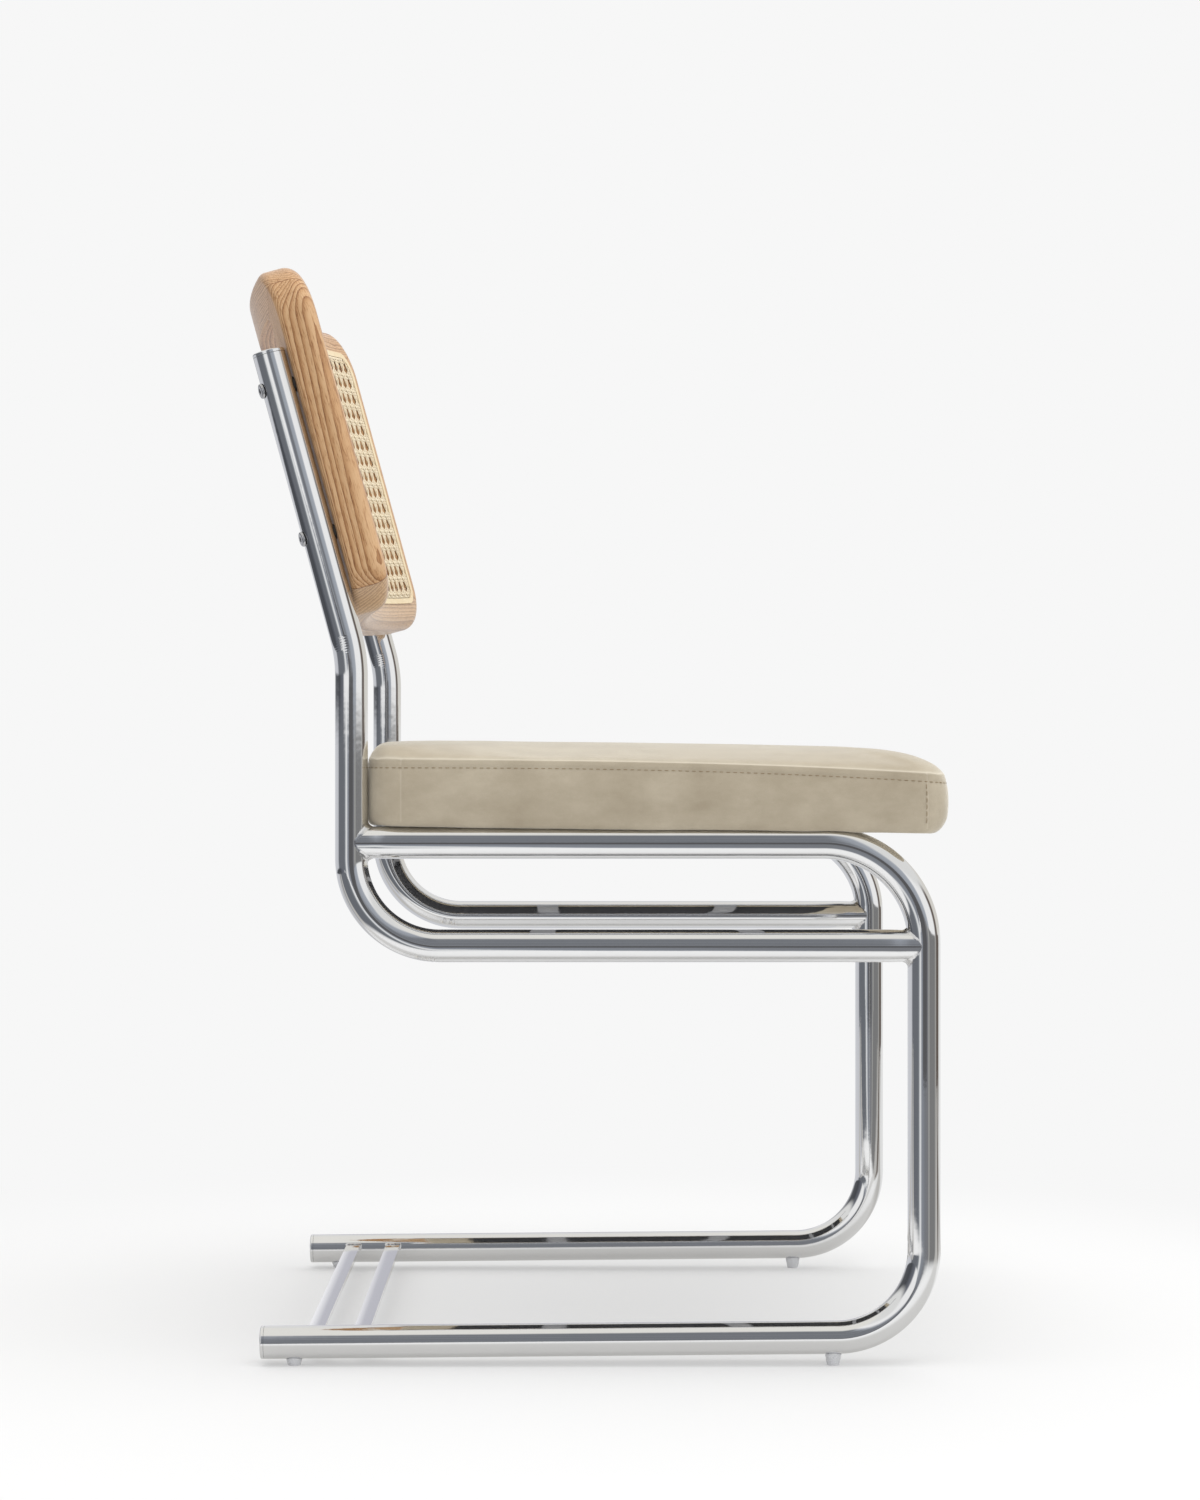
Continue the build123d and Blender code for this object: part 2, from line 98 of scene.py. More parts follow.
class Finish:
    """A node tree, and the one way of adding a node to it."""

    def __init__(self, owner):
        owner.use_nodes = True
        self.owner = owner
        self.tree = owner.node_tree
        self.tree.nodes.clear()

    def node(self, kind, settings=None, sockets=None, output=0):
        made = self.tree.nodes.new(kind)
        for name, value in (settings or {}).items():
            if name == "stops":
                elements = made.color_ramp.elements
                while len(elements) > 1:
                    elements.remove(elements[-1])
                elements[0].position, elements[0].color = value[0][0], (*value[0][1], 1)
                for position, colour in value[1:]:
                    elements.new(position).color = (*colour, 1)
            else:
                setattr(made, name, value)
        for key, value in (sockets or {}).items():
            if isinstance(value, Shade):
                self.tree.links.new(value.socket, made.inputs[key])
            else:
                made.inputs[key].default_value = value
        return Shade(self, made.outputs[output]) if len(made.outputs) else None

    def place(self):
        """Where a point lies on the chair, in metres."""
        return self.node("ShaderNodeTexCoord", output=3)

    def speckle(self, vector, scale, detail=3.0, roughness=0.5):
        """Noise from 0 to 1, with so many features to the metre."""
        return self.node("ShaderNodeTexNoise", {},
                         {"Vector": vector, "Scale": scale, "Detail": detail, "Roughness": roughness})

    def stretched(self, vector, scale, rotation=(0, 0, 0), location=(0, 0, 0), kind="POINT"):
        return self.node("ShaderNodeMapping", {"vector_type": kind},
                         {"Vector": vector, "Scale": scale, "Rotation": rotation, "Location": location})

    def blended(self, share, first, second):
        """Colour between two colours."""
        return self.node("ShaderNodeMix", {"data_type": "RGBA"}, {0: share, 6: first, 7: second}, 2)

    def ramp(self, share, *stops):
        return self.node("ShaderNodeValToRGB", {"stops": stops}, {0: share})

    def eased(self, value, start, end):
        """0 up to the start and 1 from the end, with a soft step between them."""
        return self.node("ShaderNodeMapRange", {"interpolation_type": "SMOOTHSTEP"},
                         {0: value, 1: start, 2: end, 3: 0.0, 4: 1.0})

    def axis(self, vector, which):
        """One coordinate of a vector: 0 for X, 1 for Y and 2 for Z."""
        return self.node("ShaderNodeSeparateXYZ", {}, {0: vector}, which)

    def bumped(self, height, strength, distance):
        return self.node("ShaderNodeBump", {},
                         {"Height": height, "Strength": strength, "Distance": distance})

    def surface(self, **sockets):
        named = {name.replace("_", " ").title().replace("Ior", "IOR"): v for name, v in sockets.items()}
        shader = self.node("ShaderNodeBsdfPrincipled", {}, named)
        self.node("ShaderNodeOutputMaterial", {}, {"Surface": shader})
        return self


def new_finish(name):
    return Finish(bpy.data.materials.new(name))


def dress(finish, *names):
    """Puts a finish on CAD nodes."""
    for name in names:
        nodes[name].data.materials.clear()
        nodes[name].data.materials.append(finish.owner)


def both_sides(name):
    return name + "_left", name + "_right"


def chrome_plate(name, colour, least, haze_depth, wave_depth):
    finish = new_finish(name)
    place = finish.place()
    haze = finish.speckle(place, 16.0, 5.0, 0.6)
    smears = finish.speckle(finish.stretched(place, (60, 9, 60)), 4.0, 4.0)
    rough = least + (haze ** 2.0) * haze_depth + (smears ** 3.0) * haze_depth
    tint = finish.blended(haze, (*colour, 1), (*[c * 0.93 for c in colour], 1))
    waves = finish.speckle(place, 70.0, 2.0)
    return finish.surface(base_color=tint, metallic=1.0, roughness=rough,
                          normal=finish.bumped(waves, 0.12, wave_depth))


scene = bpy.context.scene
tube_chrome = chrome_plate("tube_chrome", (0.86, 0.862, 0.865), 0.03, 0.06, 0.00035)
leg_low, leg_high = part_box("leg_tube_right")
back_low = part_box("back_tube_right")[0]
tube_radius = (leg_high.x - leg_low.x) / 2
frame_x = -(leg_high.x + leg_low.x) / 2
frame_depth = 0.4365
leg_y = leg_low.y + tube_radius
back_y = leg_y + frame_depth
rail_z = leg_high.z - tube_radius
brace_z = back_low.z + tube_radius
foot_bend, rail_bend, kink_bend = 0.067, 0.077, 0.120
back_tilt = math.radians(15.3)
kink_z = 0.5402
upright_length = 0.2377
rear_foot, front_foot = 0.0047, 0.0083
tube_sides = 56
wrinkle_depth = 0.00011
wrinkle_pitch = 0.0019
wrinkle_above_kink = 0.012
wrinkle_half_height = 0.008
scuff_depth = 0.00022
scuff_half_length = 0.006
scuff_waves = 2600
weld_overlap = 0.003
end_steps = (0.030, 0.024, 0.020, 0.016, 0.012, 0.008, 0.0)
neck_share = 0.968
neck_length = 0.022


def middle_y(name):
    low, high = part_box(name)
    return (low.y + high.y) / 2


def runner_z(y):
    """Height of a runner's axis, which rises a little from the rear glide to the front one."""
    rear, front = middle_y("glide_rear_right"), middle_y("glide_front_right")
    return rear_foot + tube_radius + (rear - y) * (front_foot - rear_foot) / (rear - front)


def bent_line(corners, bends, step):
    """Places and headings along a bent tube's centre line."""
    stations = [(corners[0], (corners[1] - corners[0]).normalized())]
    for before, corner, after, radius in zip(corners, corners[1:], corners[2:], bends):
        heading, later = (corner - before).normalized(), (after - corner).normalized()
        turn = heading.angle(later)
        start = corner - heading * radius * math.tan(turn / 2)
        inward = (later - heading * heading.dot(later)).normalized()
        steps = int(radius * turn / step)
        for i in range(steps + 1):
            c, s = math.cos(turn * i / steps), math.sin(turn * i / steps)
            stations.append((start + (heading * s + inward * (1 - c)) * radius, heading * c + inward * s))
    last_run = corners[-1] - corners[-2]
    for short in end_steps:
        stations.append((corners[-1] - last_run.normalized() * short, last_run.normalized()))
    return stations


def bending_mark(place, outward):
    """Depth of the marks that the bender leaves: wrinkles in the kink, scuffs where the brace starts."""
    up = (place.z - kink_z - wrinkle_above_kink) / wrinkle_half_height
    flank = max(0.95 * abs(outward.x) + 0.31 * outward.y, 0)
    wrinkle = wrinkle_depth * math.exp(-up ** 4) * flank ** 14
    waves = (place.z + 0.25 * outward.x * tube_radius) / wrinkle_pitch
    wrinkle *= 0.5 + 0.5 * math.sin(2 * math.pi * waves)
    ahead = (place.y - back_y + foot_bend * 0.93) / scuff_half_length
    below = max(-outward.z, 0) * (place.z < brace_z + 0.01)
    scuff = scuff_depth * math.exp(-ahead * ahead) * below ** 3
    return wrinkle + scuff * (0.5 + 0.5 * math.sin(scuff_waves * place.y))


def mesh_piece(name, points, faces, finish):
    mesh = bpy.data.meshes.new(name)
    mesh.from_pydata([tuple(p) for p in points], [], faces)
    mesh.update()
    mesh.polygons.foreach_set("use_smooth", [True] * len(mesh.polygons))
    piece = bpy.data.objects.new(name, mesh)
    scene.collection.objects.link(piece)
    mesh.materials.append(finish.owner)
    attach(piece, "root")
    return piece


def ring_faces(start, rings, sides):
    """Faces between closed rings of points that follow each other, numbered from the start."""
    faces = []
    for i in range(rings - 1):
        a, b = start + i * sides, start + (i + 1) * sides
        for k in range(sides):
            n = (k + 1) % sides
            faces.append((a + k, a + n, b + n, b + k))
    return faces


def swept_tube(name, stations, side):
    """Tube along its centre line, drawn in a little at the end that is welded on."""
    points = []
    last = stations[-1][0]
    for place, heading in stations:
        near = max(0.0, 1 - (place - last).length / neck_length)
        neck = 1 - (1 - neck_share) * min(1.0, 2 * near)
        third = heading.cross(Vector((1, 0, 0)))
        for k in range(tube_sides):
            angle = 2 * math.pi * k / tube_sides
            outward = Vector((1, 0, 0)) * math.cos(angle) + third * math.sin(angle)
            reach = outward * (tube_radius * neck - bending_mark(place, outward))
            points.append(place + reach + Vector((side * frame_x, 0, 0)))
    return mesh_piece(name, points, ring_faces(0, len(stations), tube_sides), tube_chrome)


upright = Vector((0, math.sin(back_tilt), math.cos(back_tilt)))
kink = Vector((0, back_y, kink_z))
runner_tip = leg_high.y
leg_line = bent_line([Vector((0, runner_tip, runner_z(runner_tip))), Vector((0, leg_y, runner_z(leg_y))),
                      Vector((0, leg_y, rail_z)), Vector((0, back_y - weld_overlap, rail_z))],
                     (foot_bend, rail_bend), step=0.0025)
back_line = bent_line([kink + upright * upright_length, kink, Vector((0, back_y, brace_z)),
                       Vector((0, leg_y + weld_overlap, brace_z))], (kink_bend, foot_bend), step=0.00045)
for side, hand in ((-1, "right"), (1, "left")):
    leg_piece = swept_tube("leg_tube_chrome_" + hand, leg_line, side)
    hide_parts("leg_tube_" + hand)
    back_piece = swept_tube("back_tube_chrome_" + hand, back_line, side)
    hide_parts("back_tube_" + hand)

# End caps: pressed steel plugs in the open tube ends at the top of the back and at the rear of the
# runners. They are chromed like the tubes, and leave a fine seam round the end.

cap_chrome = chrome_plate("cap_chrome", (0.86, 0.863, 0.87), 0.06, 0.1, 0.0003)
dress(cap_chrome, *both_sides("back_tube_cap"), *both_sides("runner_cap"))

# Flat bars: steel strip welded between the runners, and between the seat rails to carry the seat.
# The floor bars are rolled with a slight crown and chromed together with the tubes. The seat bars, out
# of sight, are only dull plate.

floor_bars = ("floor_bar_front", "floor_bar_rear")
seat_bars = ("seat_cross_bar_front", "seat_cross_bar_rear")
bar_crown = 0.0004
for bar in floor_bars:
    bar_low, bar_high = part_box(bar)
    strip = new_finish(bar + "_chrome")
    strip_haze = strip.speckle(strip.place(), 16.0, 5.0, 0.6)
    off_middle = (strip.axis(strip.place(), 1) - middle_y(bar)) / ((bar_high.y - bar_low.y) / 2)
    strip.surface(base_color=(0.84, 0.843, 0.85, 1), metallic=1.0,
                  roughness=0.06 + (strip_haze ** 2.0) * 0.1,
                  normal=strip.bumped(1 - off_middle * off_middle, 1.0, bar_crown))
    dress(strip, bar)
dull_bars = chrome_plate("dull_bars", (0.42, 0.42, 0.43), 0.3, 0.15, 0.0003)
dress(dull_bars, *seat_bars)

# Welds: filler run round each joint of the frame and ground to a hollow round before plating, so one
# tube flows into the other. They stay lumpy and a little duller than the tubes.

weld_hollow = 0.0048
weld_lump = 0.0005
weld_turns = 120
weld_steps = 10
bar_bead = 0.0012
bead_sides = 10
weld_seed = random.Random(5)
weld_chrome = new_finish("weld_chrome")
weld_grit = weld_chrome.speckle(weld_chrome.place(), 900.0, 4.0, 0.7)
weld_chrome.surface(base_color=weld_chrome.blended(weld_grit, (0.84, 0.84, 0.85, 1), (0.64, 0.63, 0.62, 1)),
                    metallic=1.0, roughness=0.06 + weld_grit * 0.14,
                    normal=weld_chrome.bumped(weld_grit, 0.25, 0.0004))
weld_points, weld_faces = [], []


def weld_band(rows, count):
    """Faces between closed rows of points that were just added, each row with the same count."""
    start = len(weld_points) - rows * count
    for i in range(rows):
        for k in range(count - 1):
            a, b = start + i * count + k, start + (i + 1) % rows * count + k
            weld_faces.append((a, a + 1, b + 1, b))


def saddle_weld(x, y, z, towards):
    """Hollow round between an upright tube and a level one of the same size that ends on it."""
    necked = tube_radius * neck_share
    for i in range(weld_turns):
        angle = 2 * math.pi * i / weld_turns
        c, s = math.cos(angle), math.sin(angle)
        across = (necked + weld_hollow) * c
        ahead = math.sqrt((tube_radius + weld_hollow) ** 2 - across ** 2)
        centre = Vector((x + across, y + towards * ahead, z + (necked + weld_hollow) * s))
        to_upright = Vector((-across, -towards * ahead, 0)).normalized()
        to_level = Vector((-c, 0, -s))
        for k in range(weld_steps + 1):
            share = k / weld_steps
            way = to_upright.lerp(to_level, share).normalized()
            spot = (centre + way * weld_hollow) * 330
            lump = weld_lump * noise.noise(spot) * math.sin(math.pi * share) * abs(s) ** 0.5
            weld_points.append(centre + way * (weld_hollow - lump))
    weld_band(weld_turns, weld_steps + 1)


def bar_weld(name, side, axis_z):
    """Bead round the end of a flat bar, on the curve of the tube that it meets."""
    low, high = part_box(name)
    corners = [(low.y, low.z), (high.y, low.z), (high.y, high.z), (low.y, high.z)]
    path = []
    for (y0, z0), (y1, z1) in zip(corners, corners[1:] + corners[:1]):
        steps = max(3, int(math.hypot(y1 - y0, z1 - z0) / 0.001))
        for i in range(steps):
            y, z = y0 + (y1 - y0) * i / steps, z0 + (z1 - z0) * i / steps
            rise = min(abs(z - axis_z), tube_radius * 0.999)
            path.append(Vector((side * (frame_x - math.sqrt(tube_radius ** 2 - rise ** 2)), y, z)))
    for i, place in enumerate(path):
        ahead = (path[(i + 1) % len(path)] - path[i - 1]).normalized()
        across = ahead.cross(Vector((1, 0, 0))).normalized()
        radius = bar_bead * (0.85 + 0.3 * weld_seed.random())
        for k in range(bead_sides + 1):
            angle = 2 * math.pi * k / bead_sides
            weld_points.append(place + across * radius * math.cos(angle)
                               + Vector((side * radius * math.sin(angle), 0, 0)))
    weld_band(len(path), bead_sides + 1)


for side in (-1, 1):
    saddle_weld(side * frame_x, back_y, rail_z, -1)
    saddle_weld(side * frame_x, leg_y, brace_z, 1)
    for name in floor_bars:
        bar_weld(name, side, runner_z(middle_y(name)))
    for name in seat_bars:
        bar_weld(name, side, rail_z)
weld_beads = mesh_piece("welds", weld_points, weld_faces, weld_chrome)

# Glides: clear plastic feet pushed into holes under the runners, low at the rear and taller at the
# front. The plastic is cloudy, with fine scuffs on the foot.

glide_plastic = new_finish("glide_plastic")
glide_place = glide_plastic.place()
glide_cloud = glide_plastic.speckle(glide_place, 420.0, 4.0)
glide_scuff = glide_plastic.speckle(glide_place, 1800.0, 3.0)
glide_plastic.surface(
    base_color=glide_plastic.blended(glide_cloud, (0.93, 0.935, 0.95, 1), (0.8, 0.81, 0.84, 1)),
    roughness=0.16 + glide_scuff * 0.2, transmission_weight=0.3, ior=1.46,
    normal=glide_plastic.bumped(glide_scuff, 0.2, 0.0003))
for end in ("front", "rear"):
    dress(glide_plastic, *both_sides("glide_" + end))

# Fasteners: plated steel bolts and T-nuts under the seat, and plated socket screws with their inserts at
# the back. The spacers under the tubes are made near black as painted shade, so that the gap between tube
# and wood reads as a dark shadow line.

plated_steel = new_finish("plated_steel")
steel_place = plated_steel.place()
steel_grain = plated_steel.speckle(steel_place, 1500.0, 3.0)
steel_cloud = plated_steel.speckle(steel_place, 160.0, 3.0)
plated_steel.surface(
    base_color=plated_steel.blended(steel_cloud, (0.66, 0.66, 0.67, 1), (0.5, 0.5, 0.51, 1)),
    metallic=1.0, roughness=0.2 + steel_grain * 0.16,
    normal=plated_steel.bumped(steel_grain, 0.15, 0.0002))
dress(plated_steel, "seat_bolts", "seat_t_nuts", "back_screws", "back_inserts")
# Painted shade: the spacers sit in the dark gap between tube and wood, so they are made near black to read
# as its shadow.
gap_shade_steel = new_finish("gap_shade_steel")
gap_shade_grain = gap_shade_steel.speckle(gap_shade_steel.place(), 1500.0, 3.0)
gap_shade_steel.surface(
    base_color=gap_shade_steel.blended(gap_shade_grain, (0.05, 0.045, 0.04, 1), (0.09, 0.08, 0.07, 1)),
    metallic=0.6, roughness=0.45 + gap_shade_grain * 0.2,
    normal=gap_shade_steel.bumped(gap_shade_grain, 0.15, 0.0002))
dress(gap_shade_steel, "back_spacers")

# Seat board: birch plywood, sawn to the outline of the seat and drilled for its T-nuts.
# It is inside the cover, so its plies show only where the cover is open.

plywood = new_finish("plywood")
ply_place = plywood.place()
ply_thickness = 0.0016
ply_grain = plywood.speckle(plywood.stretched(ply_place, (30, 260, 260)), 1.0, 5.0)
ply_line = ((plywood.axis(ply_place, 2) / ply_thickness) % 1.0) > 0.8
ply_tone = ply_grain * 0.7 + ply_line * 0.3
plywood.surface(base_color=plywood.blended(ply_tone, (0.72, 0.56, 0.36, 1), (0.5, 0.34, 0.19, 1)),
                roughness=0.6 + ply_grain * 0.2, normal=plywood.bumped(ply_grain, 0.2, 0.0005))
dress(plywood, "seat_board")

# Seat cushion: foam on the board under a sewn velvet cover. A top panel is joined to upright boxing
# panels by a topstitched seam, the boxing has an upright seam near each corner, and the cover sags a
# little over the rails. The pile lies in patches, so it shades lighter and darker.

cover_low, cover_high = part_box("seat_cover")
half_width = cover_high.x
cushion_front = cover_low.y
cushion_rear = cover_high.y
cushion_half_length = (cushion_rear - cushion_front) / 2
cushion_middle = (cushion_rear + cushion_front) / 2
cushion_corner = 0.027
cushion_base = 0.4112
seam_rear = 0.4612
seam_drop = 0.0118
crown_middle = 0.47
crown_slope = 0.0135
crown_reach = {"side": 0.095, "front": 0.066, "rear": 0.008}
steps_per_side = 80
cover_clearance = 0.0004
seam_gather = 0.0014
seam_pull = 0.0011
pucker_depth = 0.00045
foam_unevenness = 0.0005
rear_seam = cushion_half_length - 0.028
front_seam = -(cushion_half_length - cushion_corner) - cushion_corner * math.asin(0.315)

# Rows of the boxing from the seam down: drop below the seam, and how far the cover is drawn in from
# the outline at the sides and at the front
boxing_rows = [(0.0, 0.0011, 0.0025), (0.0011, 0.0019, 0.0031), (0.0032, 0.0009, 0.0018),
               (0.0062, 0.0014, 0.0019), (0.0080, 0.0006, 0.0010), (0.0125, 0.0, 0.0002),
               (0.0195, -0.0005, 0.0), (0.0265, -0.0005, 0.0002), (0.0335, -0.0003, 0.0011)]
# Rows that roll under: height above the lowest edge, then drawn in at the sides and at the front
rolled_rows = [(0.0085, 0.0001, 0.0026), (0.0045, 0.0008, 0.0052), (0.0016, 0.0022, 0.0086),
               (0.0002, 0.0050, 0.0125)]


def side_positions(half_side, seams):
    """Distances along one side of the outline, from corner to corner, gathered at its seams."""
    reach = half_side - cushion_corner + cushion_corner * math.pi / 4
    places = [reach * (2 * i / steps_per_side - 1) for i in range(steps_per_side + 1)]
    for seam in seams:
        nearest = min(range(len(places)), key=lambda i: abs(places[i] - seam))
        for shift in (-1, 0, 1):
            places[nearest + shift] = seam + shift * seam_gather
    return places


def on_side(half_side, distance, place):
    """Point along a side, distance outward and the lean of its normal along the side."""
    straight = half_side - cushion_corner
    if abs(place) <= straight:
        return place, distance, 0.0
    turn = (abs(place) - straight) / cushion_corner
    sign = math.copysign(1, place)
    return (sign * (straight + cushion_corner * math.sin(turn)),
            distance - cushion_corner + cushion_corner * math.cos(turn), sign * turn)


long_places = side_positions(cushion_half_length, (rear_seam, front_seam))
short_places = side_positions(half_width, ())


def rim(side, share):
    """Plan point and outward normal on the outline: side 0 front, 1 left, 2 rear, 3 right."""
    places = short_places if side in (0, 2) else long_places
    spot = (share + 1) / 2 * steps_per_side
    lower = min(int(spot), steps_per_side - 1)
    place = places[lower] + (places[lower + 1] - places[lower]) * (spot - lower)
    if side in (0, 2):
        along, out, turn = on_side(half_width, cushion_half_length, place)
        sign = -1 if side == 0 else 1
        return (along, sign * out), (math.sin(turn), sign * math.cos(turn))
    along, out, turn = on_side(cushion_half_length, half_width, place)
    sign = 1 if side == 1 else -1
    return (sign * out, along), (sign * math.cos(turn), math.sin(turn))


def forward(y):
    """Share of the way from the rear of the cushion to its front."""
    return min(max((cushion_half_length - y) / (2 * cushion_half_length), 0), 1)


def seam_level(y):
    """Height of the top seam, nearly level at the rear and lower towards the front."""
    return seam_rear - seam_drop * forward(y) ** 2.6


def sag(y):
    """How far the lower edge hangs below the top of the rails, more towards the front."""
    ahead = forward(y)
    waver = 0.0009 * noise.noise(Vector((y * 14, 5.2, 0))) + 0.0005 * noise.noise(Vector((y * 45, 1.3, 0)))
    return 0.0064 * (1 - (1 - ahead) ** 1.7) + waver * min(1, 4 * ahead)


def rail_clearance(x, y):
    """Height of the rail's upper surface under a point, with a little air."""
    reach = tube_radius + cover_clearance
    across = abs(x) - frame_x
    if abs(across) >= reach:
        return -1.0
    world_y = y + cushion_middle
    bend_start = leg_y + rail_bend
    axis = rail_z
    if world_y < bend_start:
        ahead = min(bend_start - world_y, rail_bend - 0.0001)
        axis -= rail_bend - math.sqrt(rail_bend ** 2 - ahead ** 2)
    return axis + math.sqrt(reach ** 2 - across ** 2)


def crown_length(y, normal):
    """How far in from the seam the crown is reached, less along the sides towards the rear."""
    to_rear = min(max((cushion_half_length - y) / 0.11, 0), 1)
    sideways = crown_reach["side"] * (0.3 + 0.7 * to_rear)
    lengthwise = crown_reach["front"] if normal[1] < 0 else crown_reach["rear"]
    return math.hypot(sideways * normal[0], lengthwise * normal[1])


def drawn_rim(side, share, row):
    """Plan point of a row of the cover, the normal there, and its y before it is drawn in."""
    (x, y), normal = rim(side, share)
    ahead = max(-normal[1], 0.0) ** 2
    draw = row[1] + (row[2] - row[1]) * ahead
    return x - normal[0] * draw, y - normal[1] * draw, normal, y


cushion_points, cushion_faces = [], []
rim_keys = [(side, -1 + 2 * i / steps_per_side) for side, order in ((0, 1), (1, 1), (2, -1), (3, -1))
            for i in (range(steps_per_side) if order > 0 else range(steps_per_side, 0, -1))]
rim_count = len(rim_keys)


def top_point(side, share, ring):
    bx, by, normal, _ = drawn_rim(side, share, boxing_rows[0])
    x, y = bx * ring, by * ring
    depth = (1 - ring) * (bx * normal[0] + by * normal[1])
    share_in = min(depth / crown_length(by, normal), 1.0)
    rise = math.sqrt(max(0.0, 1 - (1 - share_in) ** 2))
    seam = seam_level(by)
    return x, y, seam + (crown_middle + crown_slope * y - seam) * rise


def under_point(side, share, ring):
    bx, by, normal, _ = drawn_rim(side, share, rolled_rows[-1])
    x, y = bx * ring, by * ring
    depth = (1 - ring) * (bx * normal[0] + by * normal[1])
    lowest = rail_z + tube_radius - sag(y) + rolled_rows[-1][0]
    spread = 0.012 + 0.007 * max(-normal[1], 0.0)
    z = cushion_base - (cushion_base - lowest) * math.exp(-depth / spread)
    return x, y, max(z, rail_clearance(x, y))


def grid_side(a, b):
    ring = max(abs(a), abs(b))
    if ring < 1e-9:
        return 0, 0.0, 0.0
    if abs(b) >= abs(a):
        return (0 if b < 0 else 2), a / ring, ring
    return (1 if a > 0 else 3), b / ring, ring


def add_panel(point_of):
    """A square grid drawn out to the outline. Gives the index of each grid point."""
    index = {}
    for j in range(steps_per_side + 1):
        for i in range(steps_per_side + 1):
            a, b = 2 * i / steps_per_side - 1, 2 * j / steps_per_side - 1
            index[i, j] = len(cushion_points)
            cushion_points.append(point_of(*grid_side(a, b)))
    return index


def panel_faces(index, flip):
    for j in range(steps_per_side):
        for i in range(steps_per_side):
            face = (index[i, j], index[i + 1, j], index[i + 1, j + 1], index[i, j + 1])
            cushion_faces.append(face[::-1] if flip else face)


def panel_rim(index):
    n = steps_per_side
    ring = [index[i, 0] for i in range(n)] + [index[n, j] for j in range(n)]
    ring += [index[i, n] for i in range(n, 0, -1)] + [index[0, j] for j in range(n, 0, -1)]
    return ring


def add_ring(row, height_at):
    """One more row of the boxing, with the height that is given for each of its points."""
    ring = []
    for side, share in rim_keys:
        x, y, _, rim_y = drawn_rim(side, share, row)
        ring.append(len(cushion_points))
        cushion_points.append((x, y, height_at(x, y, rim_y)))
    boxing_rings.append(ring)


top_index = add_panel(top_point)
panel_faces(top_index, False)
boxing_rings = [panel_rim(top_index)]
for row in boxing_rows[1:]:
    add_ring(row, lambda x, y, rim_y: seam_level(rim_y) - row[0])
for row in rolled_rows[:-1]:
    add_ring(row, lambda x, y, rim_y: max(rail_z + tube_radius - sag(rim_y) + row[0], rail_clearance(x, y)))
under_index = add_panel(under_point)
panel_faces(under_index, True)
boxing_rings.append(panel_rim(under_index))
for upper, lower in zip(boxing_rings, boxing_rings[1:]):
    for i in range(rim_count):
        k = (i + 1) % rim_count
        cushion_faces.append((upper[i], lower[i], lower[k], upper[k]))

velvet = new_finish("velvet")
velvet_place = velvet.place()
velvet_nap = velvet.speckle(velvet.stretched(velvet_place, (9, 14, 14)), 1.0, 5.0, 0.62)
velvet_brush = velvet.speckle(velvet.stretched(velvet_place, (60, 26, 60)), 1.0, 4.0, 0.6)
velvet_pile = velvet.speckle(velvet_place, 2600.0, 2.0, 0.6)
velvet_tone = velvet_nap * 0.5 + velvet_brush * 0.3 + velvet_pile * 0.2
velvet_colour = velvet.ramp(velvet_tone, (0.32, (0.37, 0.31, 0.222)), (0.5, (0.465, 0.402, 0.302)),
                            (0.68, (0.585, 0.518, 0.4)))
# Painted highlight: along the seams the pile is blended toward pale cream, for the light that the seam
# ridges catch.
velvet_seam_highlight = velvet.node("ShaderNodeAttribute", {"attribute_name": "rubbed"}, {}, 2)
velvet_colour = velvet.blended((velvet_seam_highlight ** 4.0) * 0.8, velvet_colour, (0.74, 0.68, 0.56, 1))
velvet.surface(base_color=velvet_colour, roughness=0.82 + velvet_pile * 0.12, sheen_weight=1.0,
               sheen_roughness=0.38, sheen_tint=(0.97, 0.95, 0.88, 1), specular_ior_level=0.18,
               normal=velvet.bumped(velvet_pile * 0.7 + velvet_brush * 0.3, 0.32, 0.0007))

placed = [(x, y + cushion_middle, z) for x, y, z in cushion_points]
cushion = mesh_piece("seat_cushion", placed, cushion_faces, velvet)
sewn = set(boxing_rings[0]) | set(boxing_rings[3]) | set(under_index.values())
for ring in boxing_rings[-4:]:
    sewn |= set(ring)

swell_cap = 0.0045
pins = cushion.vertex_groups.new(name="sewn")
pins.add(sorted(sewn), 1.0, "REPLACE")
cloth = cushion.modifiers.new("cloth", "CLOTH")
cloth_values = {"quality": 6, "mass": 0.25, "tension_stiffness": 18, "compression_stiffness": 18,
                "shear_stiffness": 8, "bending_stiffness": 1.2, "use_pressure": True,
                "uniform_pressure_force": 4.0, "vertex_group_mass": "sewn"}
for setting, value in cloth_values.items():
    setattr(cloth.settings, setting, value)
cloth.settings.effector_weights.gravity = 0
cloth.collision_settings.use_collision = False
rest = np.array(placed)
for step in range(1, 21):
    scene.frame_set(step)
settled = cushion.evaluated_get(bpy.context.evaluated_depsgraph_get()).to_mesh()
swollen = np.array([v.co for v in settled.vertices])
cushion.modifiers.remove(cloth)
scene.frame_set(1)
move = swollen - rest
length = np.linalg.norm(move, axis=1, keepdims=True)
kept = swell_cap * (1 - np.exp(-length / swell_cap))
placed = rest + move * (kept / np.maximum(length, 1e-9))

# The pull of the thread: small puckers beside the seam, and soft unevenness of the foam
seam_ring = boxing_rings[0]
placed = np.array(placed)
for column, index in enumerate(seam_ring):
    ripple = noise.noise(Vector((column * 0.55, 3.1, 0.0)))
    for ring, share in zip(boxing_rings[1:7], (0.3, 0.5, 0.4, 0.8, 1.0, 0.6)):
        at = ring[column]
        (bx, by), normal = rim(*rim_keys[column])
        placed[at][0] += normal[0] * ripple * pucker_depth * share
        placed[at][1] += normal[1] * ripple * pucker_depth * share
free = sorted(set(range(len(placed))) - sewn)
for at in free:
    spot = Vector(placed[at]) * 17.0
    placed[at][2] += foam_unevenness * noise.noise(spot)
